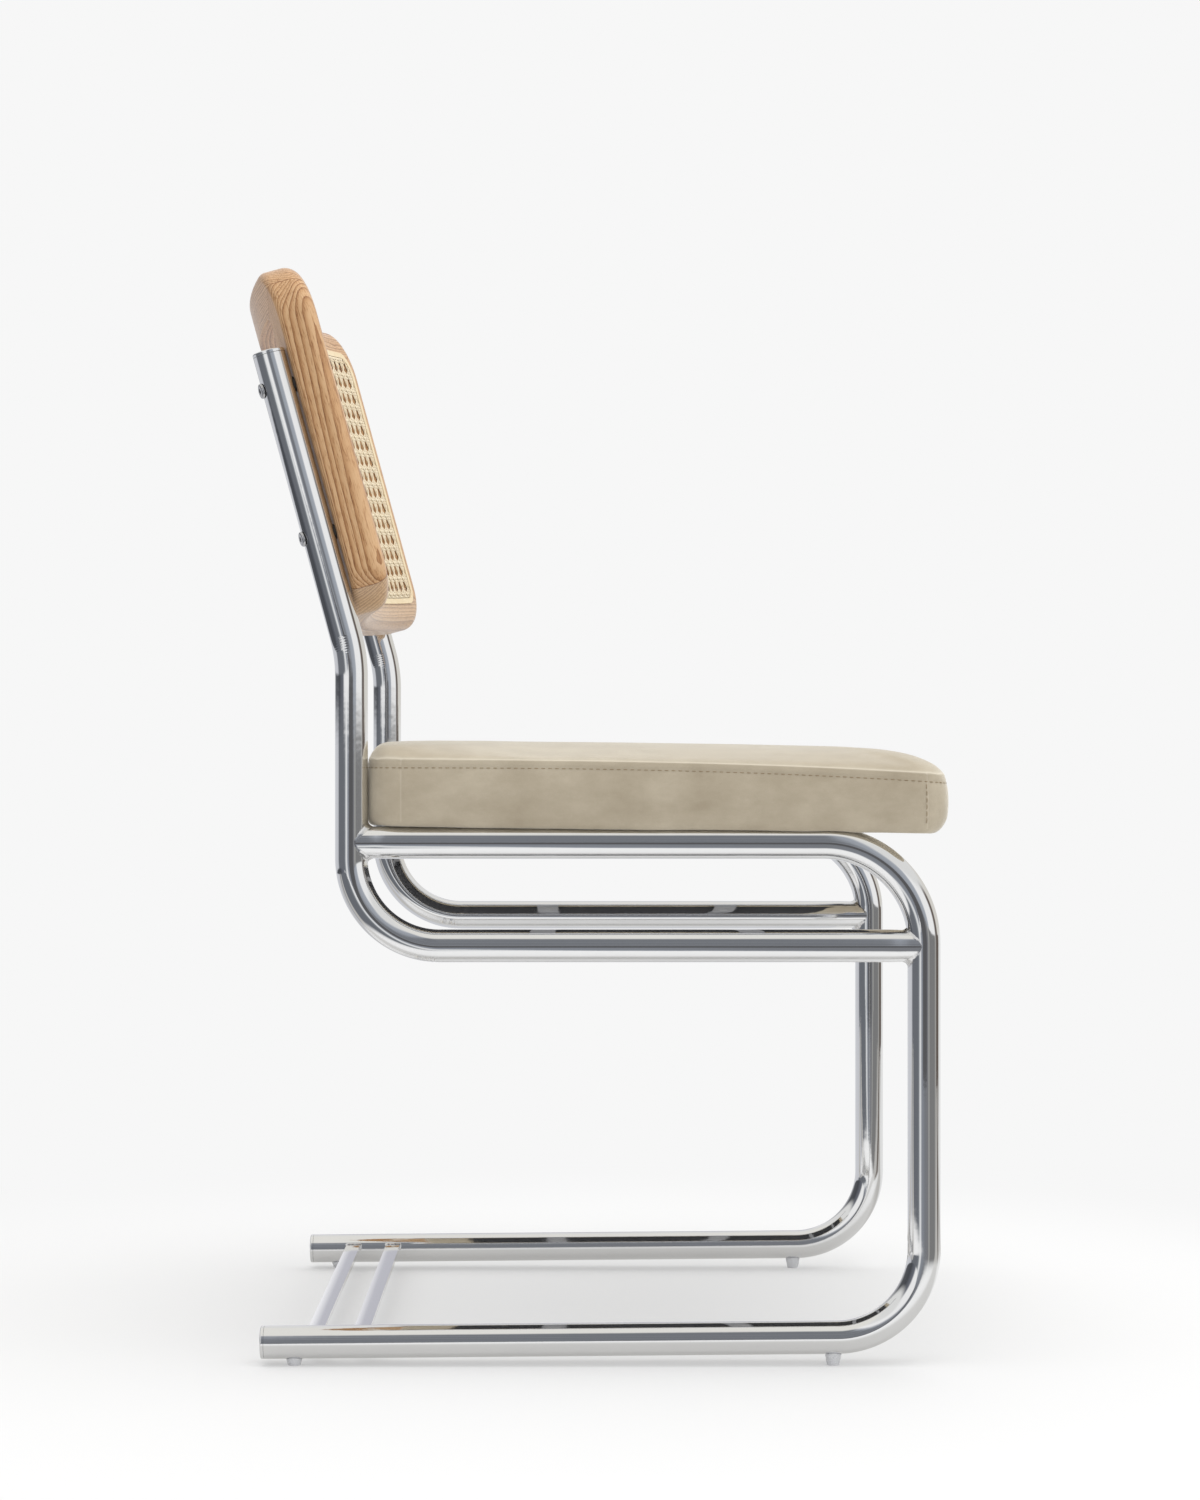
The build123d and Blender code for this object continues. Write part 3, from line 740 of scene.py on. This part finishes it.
# Upright seams: the columns that lie on them are pulled in. The pile along the top seam and the upright
# seams is painted pale, a painted highlight for the light that the seam ridges catch
rubbed = np.zeros(len(placed), np.float32)
rubbed[seam_ring] = 1.0
for column, (side, share) in enumerate(rim_keys):
    if side not in (1, 3):
        continue
    spot = long_places[round((share + 1) / 2 * steps_per_side)]
    if min(abs(spot - rear_seam), abs(spot - front_seam)) > 1e-6:
        continue
    (bx, by), normal = rim(side, share)
    for ring in boxing_rings[1:-2]:
        placed[ring[column]][0] -= normal[0] * seam_pull
        placed[ring[column]][1] -= normal[1] * seam_pull
        rubbed[ring[column]] = 0.75
# Nothing reaches into the back tubes behind the rear corners
for at in range(len(placed)):
    gap = np.array([abs(placed[at][0]) - frame_x, placed[at][1] - back_y])
    reach = np.linalg.norm(gap)
    if reach < tube_radius + cover_clearance:
        push = gap / max(reach, 1e-6) * (tube_radius + cover_clearance)
        placed[at][0] = math.copysign(frame_x + push[0], placed[at][0])
        placed[at][1] = back_y + push[1]
cushion.data.vertices.foreach_set("co", placed.astype(np.float32).ravel())
cushion.data.update()
cushion.data.attributes.new("rubbed", "FLOAT", "POINT").data.foreach_set("value", rubbed)
rounding = cushion.modifiers.new("rounding", "SUBSURF")
rounding.levels = 1
rounding.render_levels = 1
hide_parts("seat_cover", "seat_foam")

# Topstitching: one row of heavy thread round the boxing, just under the top seam, and one down each
# front upright seam.

stitch_length = 0.0037
stitch_pitch = 0.0052
stitch_radius = 0.00031
thread_sides = 6
stitch_rings = ((0, 0.45, -0.0002), (0.2, 0.9, 0.0003), (0.8, 0.9, 0.0003), (1, 0.45, -0.0002))
thread = new_finish("thread")
thread_twist = thread.speckle(thread.place(), 2200.0, 3.0)
thread.surface(base_color=thread.blended(thread_twist, (0.33, 0.25, 0.15, 1), (0.22, 0.155, 0.085, 1)),
               roughness=0.7 + thread_twist * 0.15, normal=thread.bumped(thread_twist, 0.4, 0.0002))
stitch_points, stitch_faces = [], []


def add_stitches(path, closed):
    """Stitches along a line of points, each a short thread that dips in at both ends."""
    line = [Vector(p) for p in path]
    if closed:
        line.append(line[0])
    travelled = [0.0]
    for a, b in zip(line, line[1:]):
        travelled.append(travelled[-1] + (b - a).length)

    def at(distance):
        k = max(0, min(int(np.searchsorted(travelled, distance)) - 1, len(line) - 2))
        share = (distance - travelled[k]) / max(travelled[k + 1] - travelled[k], 1e-9)
        return line[k].lerp(line[k + 1], share)

    start = 0.0
    while start + stitch_length < travelled[-1]:
        first, last = at(start), at(start + stitch_length)
        ahead = (last - first).normalized()
        outward = Vector(((first.x + last.x) / 2, (first.y + last.y) / 2 - cushion_middle, 0))
        outward = (outward - ahead * outward.dot(ahead)).normalized()
        across = ahead.cross(outward)
        base = len(stitch_points)
        for share, size, lift in stitch_rings:
            middle = first.lerp(last, share) + outward * lift
            for k in range(thread_sides):
                angle = 2 * math.pi * k / thread_sides
                offset = outward * math.cos(angle) + across * math.sin(angle)
                stitch_points.append(middle + offset * stitch_radius * size)
        end = len(stitch_points)
        stitch_faces.extend(ring_faces(base, len(stitch_rings), thread_sides))
        stitch_faces.append(tuple(base + k for k in reversed(range(thread_sides))))
        stitch_faces.append(tuple(range(end - thread_sides, end)))
        start += stitch_pitch


add_stitches([placed[i] for i in boxing_rings[3]], True)
for column, (side, share) in enumerate(rim_keys):
    if side in (1, 3):
        spot = long_places[round((share + 1) / 2 * steps_per_side)]
        if abs(spot - front_seam - seam_gather) < 1e-6:
            add_stitches([placed[ring[column]] for ring in boxing_rings[4:-2]], False)
stitching = mesh_piece("seat_stitching", stitch_points, stitch_faces, thread)

# Dust cover: black non-woven cloth stapled over the opening under the seat board. It sags slightly
# between the cross bars.

dust_low, dust_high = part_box("dust_cover")
dust_level = dust_low.z + 0.0001
dust_steps = 48
dust_thickness = 0.0003
dust_sag = 0.0016
dust_held = 0.035
dust_points, dust_faces = [], []
for j in range(dust_steps + 1):
    for i in range(dust_steps + 1):
        a, b = i / dust_steps, j / dust_steps
        x = dust_low.x + (dust_high.x - dust_low.x) * a
        y = dust_low.y + (dust_high.y - dust_low.y) * b
        edge = min(a, 1 - a, b, 1 - b) * 2
        held = max(math.exp(-((y - middle_y(name)) / dust_held) ** 2) for name in seat_bars)
        slack = 0.7 + 0.3 * noise.noise(Vector((x * 30, y * 30, 1.7)))
        dust_points.append((x, y, dust_level - dust_sag * (1 - held) * min(edge * 3, 1) * slack))
for j in range(dust_steps):
    for i in range(dust_steps):
        k = j * (dust_steps + 1) + i
        dust_faces.append((k, k + dust_steps + 1, k + dust_steps + 2, k + 1))
dust_cloth = new_finish("dust_cloth")
dust_place = dust_cloth.place()
dust_fibre = dust_cloth.speckle(dust_place, 900.0, 5.0, 0.7)
dust_dimple = dust_cloth.node("ShaderNodeTexVoronoi", {}, {"Vector": dust_place, "Scale": 620.0})
dust_cloth.surface(
    base_color=dust_cloth.blended(dust_fibre, (0.022, 0.022, 0.024, 1), (0.06, 0.06, 0.064, 1)),
    roughness=0.8 + dust_fibre * 0.15,
    normal=dust_cloth.bumped(dust_fibre * 0.5 + dust_dimple * 0.5, 0.4, 0.0004))
dust_sheet = mesh_piece("dust_sheet", dust_points, dust_faces, dust_cloth)
thick = dust_sheet.modifiers.new("thickness", "SOLIDIFY")
thick.thickness = dust_thickness
thick.offset = 1
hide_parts("dust_cover")

# Back frame: top rail, bottom rail and two stiles of an open-grained hardwood, joined at the corners
# with dowels, shaped to one curve and rounded over. Each piece keeps its own run of the grain, and a
# satin lacquer covers it.

curve_radius = 0.780
back_gap = 0.0007
back_thickness = 0.0305
front_radius = curve_radius - back_thickness
curve_centre = -math.sqrt((curve_radius + back_gap + tube_radius) ** 2 - frame_x ** 2)
ring_pitch = 0.0019
member_width = 0.0365
back_start = 0.030
back_height = 0.2755
back_half = frame_x + 0.006
joint_width = 0.0006
joints = ((back_start + back_height - member_width, math.radians(41)),
          (back_start + member_width, math.radians(-30)))


def back_wood(name, standing, pith, slant, painted_light_share, seed):
    """Lacquered wood: growth rings about a slanting pith, cut by the rounded surface of the piece."""
    finish = new_finish(name)
    local = finish.stretched(finish.place(), (1, 1, 1), (-back_tilt, 0, 0), (0, back_y, kink_z), "TEXTURE")
    across = finish.axis(local, 0)
    up = finish.axis(local, 2)
    from_centre = finish.axis(local, 1) - curve_centre
    depth = (across * across + from_centre * from_centre) ** 0.5 - front_radius
    if standing:
        first, second, stretch = abs(across) - pith[0], depth - pith[1], (30, 30, 3)
    else:
        first, second, stretch = up - pith[0], depth - pith[1], (4, 30, 30)
    outside = abs(across) - (back_half - member_width)
    glue_line = 0.0
    for level, slope in joints:
        gap = abs(up - level - outside * math.tan(slope)) * math.cos(slope) / joint_width
        glue_line = gap.math("MAXIMUM", glue_line, 1 - gap)
    glue_line = glue_line * (outside > 0.0)
    drift = finish.speckle(finish.stretched(local, stretch, (0, 0, 0), (seed, seed * 0.7, 0)), 0.7, 3.0)
    radius = (first * first + second * second) ** 0.5
    years = finish.node("ShaderNodeCombineXYZ", {}, {0: radius * 170, 1: drift * 2, 2: seed})
    growth = finish.speckle(years, 1.0, 2.0)
    rings = radius / ring_pitch + growth * 2.4 + drift * 3.0 + up * slant
    season = rings % 1.0
    pore_place = finish.stretched(local, tuple(s * 36 for s in stretch), (0, 0, 0), (seed, 0, seed))
    pores = finish.speckle(pore_place, 1.0, 4.0, 0.65)
    broad = finish.speckle(finish.stretched(local, stretch, (0, 0, 0), (0, seed, 0)), 0.35, 2.0)
    band = (1 - season) ** 2.0
    streaks = finish.eased(pores, 0.52, 0.68)
    tone = band * (0.2 + growth * 0.6) + (pores ** 2.0) * 0.45 + streaks * 0.26
    tone = tone + broad * 0.3 + glue_line * 0.5
    colour = finish.ramp(tone, (0.14, (0.7, 0.465, 0.26)), (0.42, (0.55, 0.312, 0.146)),
                         (0.68, (0.35, 0.166, 0.064)), (1.0, (0.19, 0.075, 0.028)))
    # Painted light: part of the colour is blended toward pale grey-beige, which stands in for the strong
    # front light and gloss on the bottom rail.
    colour = finish.blended(painted_light_share, colour, (0.56, 0.49, 0.38, 1))
    relief = finish.bumped(streaks * 0.6 + band * 0.4, 0.22, 0.0005)
    finish.surface(base_color=colour, roughness=0.36 + pores * 0.16, normal=relief, coat_weight=0.2,
                   coat_roughness=0.14, specular_ior_level=0.35, sheen_weight=0.3, sheen_roughness=0.3,
                   sheen_tint=(0.8, 0.84, 0.9, 1))
    return finish


dress(back_wood("stile_wood_left", True, (0.17, 0.052), 9, 0.0, 3.7), "back_stile_left")
dress(back_wood("stile_wood_right", True, (0.168, 0.048), -8, 0.0, 8.2), "back_stile_right")
dress(back_wood("top_rail_wood", False, (0.245, 0.04), 5, 0.0, 1.3), "back_top_rail")
# The bottom rail takes a 0.3 share of that painted light.
dress(back_wood("bottom_rail_wood", False, (0.08, 0.035), 5, 0.3, 5.9), "back_bottom_rail")

# Dowels: turned beech pegs across the corners of the back frame. They are glued into holes in both
# pieces, out of sight.

dowel_wood = new_finish("dowel_wood")
dowel_grain = dowel_wood.speckle(dowel_wood.stretched(dowel_wood.place(), (300, 300, 40)), 1.0, 4.0)
dowel_wood.surface(base_color=dowel_wood.blended(dowel_grain, (0.7, 0.53, 0.35, 1), (0.52, 0.36, 0.21, 1)),
                   roughness=0.6 + dowel_grain * 0.15)
dress(dowel_wood, "back_dowels")

# Cane webbing: pairs of upright and level strands, laced with slanting ones in both directions so
# that eight-sided holes stay open. The edge is pushed into a groove round the frame.

cane_pitch = 0.01445
strand_width = 0.0023
strand_thickness = 0.00055
pair_half_gap = 0.00128
slant_width = 0.0021
weave_level = 0.00088
crossing_lift = 0.0003
slant_lift = 0.00055
sheet_inset = 0.02685
field_half = back_half - sheet_inset
field_low = back_start + sheet_inset
field_high = back_start + back_height - sheet_inset
field_middle = (field_low + field_high) / 2
corner_top = 0.045 - sheet_inset
corner_bottom = 0.0093
groove_lip = 0.0011
groove_dive = 0.0036
run_over = 0.001


def in_frame(u, v, out):
    """Point on the curved back: along the curve, up the slope and out of the wood's front face."""
    radius = front_radius - out
    angle = u / front_radius
    x = radius * np.sin(angle)
    y = curve_centre + radius * np.cos(angle)
    return np.stack([x, y * math.cos(back_tilt) + v * math.sin(back_tilt) + back_y,
                     -y * math.sin(back_tilt) + v * math.cos(back_tilt) + kink_z], axis=-1)


def depth_inside(u, v):
    """Distance inside the edge of the cane field, negative outside it."""
    x = front_radius * np.sin(u / front_radius)
    corner = np.where(v > field_middle, corner_top, corner_bottom)
    dx = np.abs(x) - (field_half - corner)
    dv = np.abs(v - field_middle) - ((field_high - field_low) / 2 - corner)
    outside = np.hypot(np.maximum(dx, 0), np.maximum(dv, 0))
    return corner - outside - np.minimum(np.maximum(dx, dv), 0)


section = [(-0.5, 0.0), (-0.3, 0.42), (0.3, 0.42), (0.5, 0.0), (0.3, -0.42), (-0.3, -0.42)]
cane_points, cane_faces, cane_tones = [], [], []
cane_seed = random.Random(11)


def add_strand(u, v, lift, width):
    """One strand through the given places, left out where it would pass the edge of the field."""
    inside = depth_inside(u, v)
    keep = inside > 0
    if keep.sum() < 4:
        return
    first, last = np.argmax(keep), len(keep) - 1 - np.argmax(keep[::-1])
    u, v, lift, inside = (values[first:last + 1] for values in (u, v, lift, inside))
    dive = np.clip(1 - inside / groove_lip, 0, 1) ** 2
    out = weave_level + lift * (1 - dive) - dive * groove_dive
    du, dv = np.gradient(u), np.gradient(v)
    size = np.hypot(du, dv)
    wu, wv = -dv / size, du / size
    tone = cane_seed.random()
    base = sum(len(p) for p in cane_points)
    rings = [in_frame(u + wu * a * width, v + wv * a * width, out + b * strand_thickness)
             for a, b in section]
    cane_points.append(np.stack(rings, axis=1).reshape(-1, 3))
    cane_tones.extend([tone] * (len(u) * len(section)))
    n = len(section)
    cane_faces.extend((a, d, c, b) for a, b, c, d in ring_faces(base, len(u), n))
    cane_faces.append(tuple(base + k for k in range(n)))
    cane_faces.append(tuple(base + (len(u) - 1) * n + k for k in reversed(range(n))))


half_length = front_radius * math.asin(field_half / front_radius)
columns = int(half_length / cane_pitch) + 1
rows = int((field_high - field_low) / 2 / cane_pitch) + 1
up_run = np.arange(field_low - run_over, field_high + run_over, cane_pitch / 7)
level_run = np.arange(-half_length - run_over, half_length + run_over, cane_pitch / 7)


def crossing_wave(run, origin, turn):
    """Over one strand of a pair and under the other, level in between."""
    phase = (run - origin) / cane_pitch
    near = phase - np.round(phase)
    return turn * crossing_lift * np.sin(np.clip(near / 0.16, -1, 1) * math.pi)


for c in range(-columns, columns + 1):
    for which in (-1, 1):
        u = (c + 0.5) * cane_pitch + which * pair_half_gap
        wave = crossing_wave(up_run, field_middle + 0.5 * cane_pitch, which)
        add_strand(np.full_like(up_run, u), up_run, wave, strand_width)
for r in range(-rows, rows + 1):
    for which in (-1, 1):
        v = field_middle + (r + 0.5) * cane_pitch + which * pair_half_gap
        wave = crossing_wave(level_run, 0.5 * cane_pitch, -which)
        add_strand(level_run, np.full_like(level_run, v), wave, strand_width)
slant_reach = half_length + (field_high - field_low)
slant_run = np.arange(-slant_reach, slant_reach, cane_pitch / 8)
for slope in (-1, 1):
    for k in range(-columns - rows - 2, columns + rows + 3):
        start = (k + 0.5) * cane_pitch
        v = field_middle + slope * (slant_run - start)
        wave = slope * slant_lift * np.cos((slant_run / cane_pitch - 0.5) * 2 * math.pi)
        add_strand(slant_run, v, wave, slant_width)

cane = new_finish("cane")
cane_place = cane.place()
cane_tone = cane.node("ShaderNodeAttribute", {"attribute_name": "tone"}, {}, 2)
cane_fibre = cane.speckle(cane.stretched(cane_place, (700, 700, 500)), 1.0, 3.0)
cane_stain = cane.speckle(cane_place, 45.0, 3.0)
cane_colour = cane.ramp(cane_tone * 0.25 + cane_fibre * 0.4 + cane_stain * 0.35,
                        (0.25, (0.82, 0.72, 0.53)), (0.55, (0.76, 0.64, 0.45)), (0.8, (0.62, 0.48, 0.3)))
cane.surface(base_color=cane_colour, roughness=0.4 + cane_fibre * 0.2, coat_weight=0.12, coat_roughness=0.3,
             normal=cane.bumped(cane_fibre, 0.25, 0.0003))
weave = mesh_piece("cane_weave", np.concatenate(cane_points).tolist(), cane_faces, cane)
tones = weave.data.attributes.new("tone", "FLOAT", "POINT")
tones.data.foreach_set("value", np.array(cane_tones, np.float32))
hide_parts("cane_panel")

# Reed spline: a strip of split reed that holds the edge of the cane. It is bent to the outline of the
# field and hammered into the groove with glue.

reed = new_finish("reed")
reed_place = reed.place()
reed_fibre = reed.speckle(reed.stretched(reed_place, (160, 160, 160)), 1.0, 5.0, 0.65)
reed_stain = reed.speckle(reed_place, 30.0, 3.0)
reed.surface(base_color=reed.ramp(reed_fibre * 0.6 + reed_stain * 0.4, (0.25, (0.84, 0.72, 0.5)),
                                  (0.6, (0.75, 0.61, 0.39)), (0.85, (0.6, 0.45, 0.25))),
             roughness=0.45 + reed_fibre * 0.2, normal=reed.bumped(reed_fibre, 0.3, 0.0004))
dress(reed, "cane_spline")

# Stage: a pale studio floor that fades into a plain background, one broad lamp overhead and soft
# light from all round. The room has dark and light screens round it, which give the chrome its bands.

pale = 0.93
floor_size = 4.4
floor_fade_start = 0.5
floor_fade_end = 1.1
floor_lift = 0.3
floor_shift = 0.2
floor_finish = new_finish("studio_floor")
floor_place = floor_finish.place()
floor_x = floor_finish.axis(floor_place, 0)
floor_y = floor_finish.axis(floor_place, 1)
floor_nearer = floor_x + floor_shift
floor_distance = (floor_nearer * floor_nearer + floor_y * floor_y) ** 0.5
fade = floor_finish.eased(floor_distance, floor_fade_start, floor_fade_end)
rays = [floor_finish.node("ShaderNodeLightPath", output=k) for k in (0, 3, 6)]
seen = fade.math("MINIMUM", rays[0] + rays[1] + rays[2], 1.0)
matt = floor_finish.node("ShaderNodeBsdfDiffuse", {}, {"Color": (0.82, 0.82, 0.82, 1)})


def low_screens(finish, turn):
    """What stands low down round the room, by the direction from the near front leg."""
    return finish.ramp(
        turn / (2 * math.pi) + 0.5,
        (0.0, (0.86, 0.86, 0.86)), (0.165, (0.86, 0.86, 0.85)), (0.2, (0.13, 0.1, 0.08)),
        (0.245, (0.12, 0.1, 0.09)), (0.275, (0.44, 0.43, 0.41)), (0.3, (0.22, 0.22, 0.22)),
        (0.405, (0.22, 0.22, 0.22)), (0.423, (0.44, 0.44, 0.42)), (0.44, (0.22, 0.22, 0.23)),
        (0.5, (0.21, 0.22, 0.24)), (0.565, (0.28, 0.3, 0.34)), (0.58, (0.78, 0.79, 0.8)),
        (0.6, (0.78, 0.79, 0.8)), (0.615, (0.24, 0.26, 0.28)), (0.64, (0.16, 0.17, 0.19)),
        (0.76, (0.16, 0.17, 0.19)), (0.79, (0.62, 0.63, 0.67)), (1.0, (0.72, 0.73, 0.76)))


floor_turn = floor_y.math("ARCTAN2", floor_y - leg_y, 0 - floor_x - frame_x)
beyond = floor_finish.eased(floor_distance, 0.4, 0.62)
# Painted shadow: for glossy rays the floor along each runner is darkened, a painted contact shadow that the
# runners reflect.
runner_shadow_share = floor_finish.eased(abs(abs(floor_x) - frame_x), 0.16, 0.05)
floor_glow = floor_finish.blended(beyond * rays[1], (pale, pale, pale, 1),
                                  low_screens(floor_finish, floor_turn))
floor_glow = floor_finish.blended(runner_shadow_share * rays[1], floor_glow, (0.56, 0.55, 0.53, 1))
glow = floor_finish.node("ShaderNodeEmission", {}, {"Color": floor_glow, "Strength": 1.0})
lifted = (fade * (1 - floor_lift) + floor_lift) * seen
in_chrome = beyond.math("MAXIMUM", beyond, runner_shadow_share * 0.6) * rays[1]
lifted = lifted.math("MAXIMUM", lifted, in_chrome)
mixed = floor_finish.node("ShaderNodeMixShader", {}, {0: lifted, 1: matt, 2: glow})
floor_finish.node("ShaderNodeOutputMaterial", {}, {"Surface": mixed})
floor_mesh = bpy.data.meshes.new("floor")
reach = floor_size / 2
floor_mesh.from_pydata([(-reach, -reach, 0), (reach, -reach, 0), (reach, reach, 0), (-reach, reach, 0)], [],
                       [(0, 1, 2, 3)])
floor_mesh.materials.append(floor_finish.owner)
floor = bpy.data.objects.new("floor", floor_mesh)
scene.collection.objects.link(floor)

world = bpy.data.worlds.new("studio")
scene.world = world
room = Finish(world)
direction = room.node("ShaderNodeTexCoord", output=0)
east, north, height = (room.axis(direction, axis) for axis in range(3))
turned = north.math("ARCTAN2", north, 0 - east)
round_room = room.ramp(
    turned / (2 * math.pi) + 0.5,
    (0.0, (0.52, 0.52, 0.57)), (0.012, (0.54, 0.54, 0.59)), (0.022, (0.95, 0.95, 0.97)),
    (0.034, (0.93, 0.93, 0.95)), (0.045, (0.74, 0.72, 0.68)), (0.205, (0.74, 0.72, 0.67)),
    (0.225, (0.15, 0.12, 0.1)), (0.262, (0.15, 0.13, 0.12)),
    (0.285, (0.95, 0.95, 0.95)), (0.39, (0.95, 0.95, 0.95)), (0.408, (0.42, 0.45, 0.5)),
    (0.46, (0.36, 0.385, 0.43)), (0.482, (0.19, 0.2, 0.22)), (0.518, (0.19, 0.2, 0.22)),
    (0.53, (0.38, 0.4, 0.44)), (0.545, (0.95, 0.95, 0.95)), (0.632, (0.95, 0.95, 0.95)),
    (0.658, (0.16, 0.17, 0.2)), (0.75, (0.07, 0.075, 0.085)), (0.87, (0.1, 0.105, 0.115)),
    (0.9, (0.34, 0.35, 0.37)), (0.958, (0.5, 0.5, 0.52)), (0.968, (0.95, 0.95, 0.97)),
    (0.98, (0.95, 0.95, 0.97)), (0.988, (0.54, 0.54, 0.59)), (1.0, (0.52, 0.52, 0.57)))
ceiling = room.eased(height, 0.74, 0.86)
skirting = room.eased(height, 0.05, 0.02)
ahead = room.eased(abs(turned), 0.3, 0.2)
below = room.eased(abs(height + 0.06), 0.08, 0.06)
aside = room.eased(abs(turned), 0.35, 0.6)
above = room.eased(height, 0.32, 0.5)
clutter = room.speckle(room.stretched(direction, (2.5, 2.5, 15)), 1.0, 4.0, 0.6)
clutter = room.node("ShaderNodeMapRange", {}, {0: clutter, 1: 0.5, 2: 0.75, 3: 0.0, 4: 0.5})
studio = room.blended(clutter * ahead, round_room, (0.58, 0.61, 0.66, 1))
studio = room.blended(below, studio, low_screens(room, turned))
studio = room.blended(skirting * ahead, studio, (0.11, 0.11, 0.115, 1))
studio = room.blended(above * aside, studio, (0.8, 0.8, 0.79, 1))
studio = room.blended(ceiling, studio, (0.86, 0.845, 0.8, 1))
soft = room.ramp((height * 0.7 + east * 0.3 - north * 0.34) * 0.5 + 0.5, (0.3, (0.34, 0.34, 0.35)),
                 (0.5, (0.6, 0.6, 0.61)), (0.68, (0.92, 0.92, 0.92)), (0.85, (1.0, 1.0, 0.99)))
paths = [room.node("ShaderNodeLightPath", output=k) for k in (0, 3, 6)]
plain = room.node("ShaderNodeBackground", {}, {"Color": (pale, pale, pale, 1), "Strength": 1.0})
mirrored_room = room.node("ShaderNodeBackground", {}, {"Color": studio, "Strength": 1.0})
ambient = room.node("ShaderNodeBackground", {}, {"Color": soft, "Strength": 1.26})
inner = room.node("ShaderNodeMixShader", {}, {0: paths[1], 1: ambient, 2: mirrored_room})
straight = height.math("MINIMUM", paths[0] + paths[2], 1.0)
outer = room.node("ShaderNodeMixShader", {}, {0: straight, 1: inner, 2: plain})
room.node("ShaderNodeOutputWorld", {}, {"Surface": outer})

lamp_place, lamp_aim = Vector((-0.45, -0.35, 2.5)), Vector((0, 0, 0.4))
light = bpy.data.lights.new("overhead", "AREA")
light.shape = "RECTANGLE"
light.size = light.size_y = 1.5
light.energy = 15
lamp = bpy.data.objects.new("overhead", light)
lamp.location = lamp_place
lamp.rotation_mode = "QUATERNION"
lamp.rotation_quaternion = (lamp_aim - lamp_place).to_track_quat("-Z", "Y")
lamp.visible_glossy = False
scene.collection.objects.link(lamp)

camera_away = 2.558
camera_ahead = 0.1719
camera_height = 0.4685
picture_shift = 23
picture_height = 1500
camera_data = bpy.data.cameras.new("camera")
camera_data.sensor_width = 36.0
camera_data.lens = 73.6
camera_data.shift_x = picture_shift / picture_height
camera = bpy.data.objects.new("camera", camera_data)
camera.location = (-camera_away, back_y - camera_ahead, camera_height)
camera.rotation_euler = (math.pi / 2, 0, -math.pi / 2)
scene.collection.objects.link(camera)
scene.camera = camera
scene.view_settings.view_transform = "Standard"
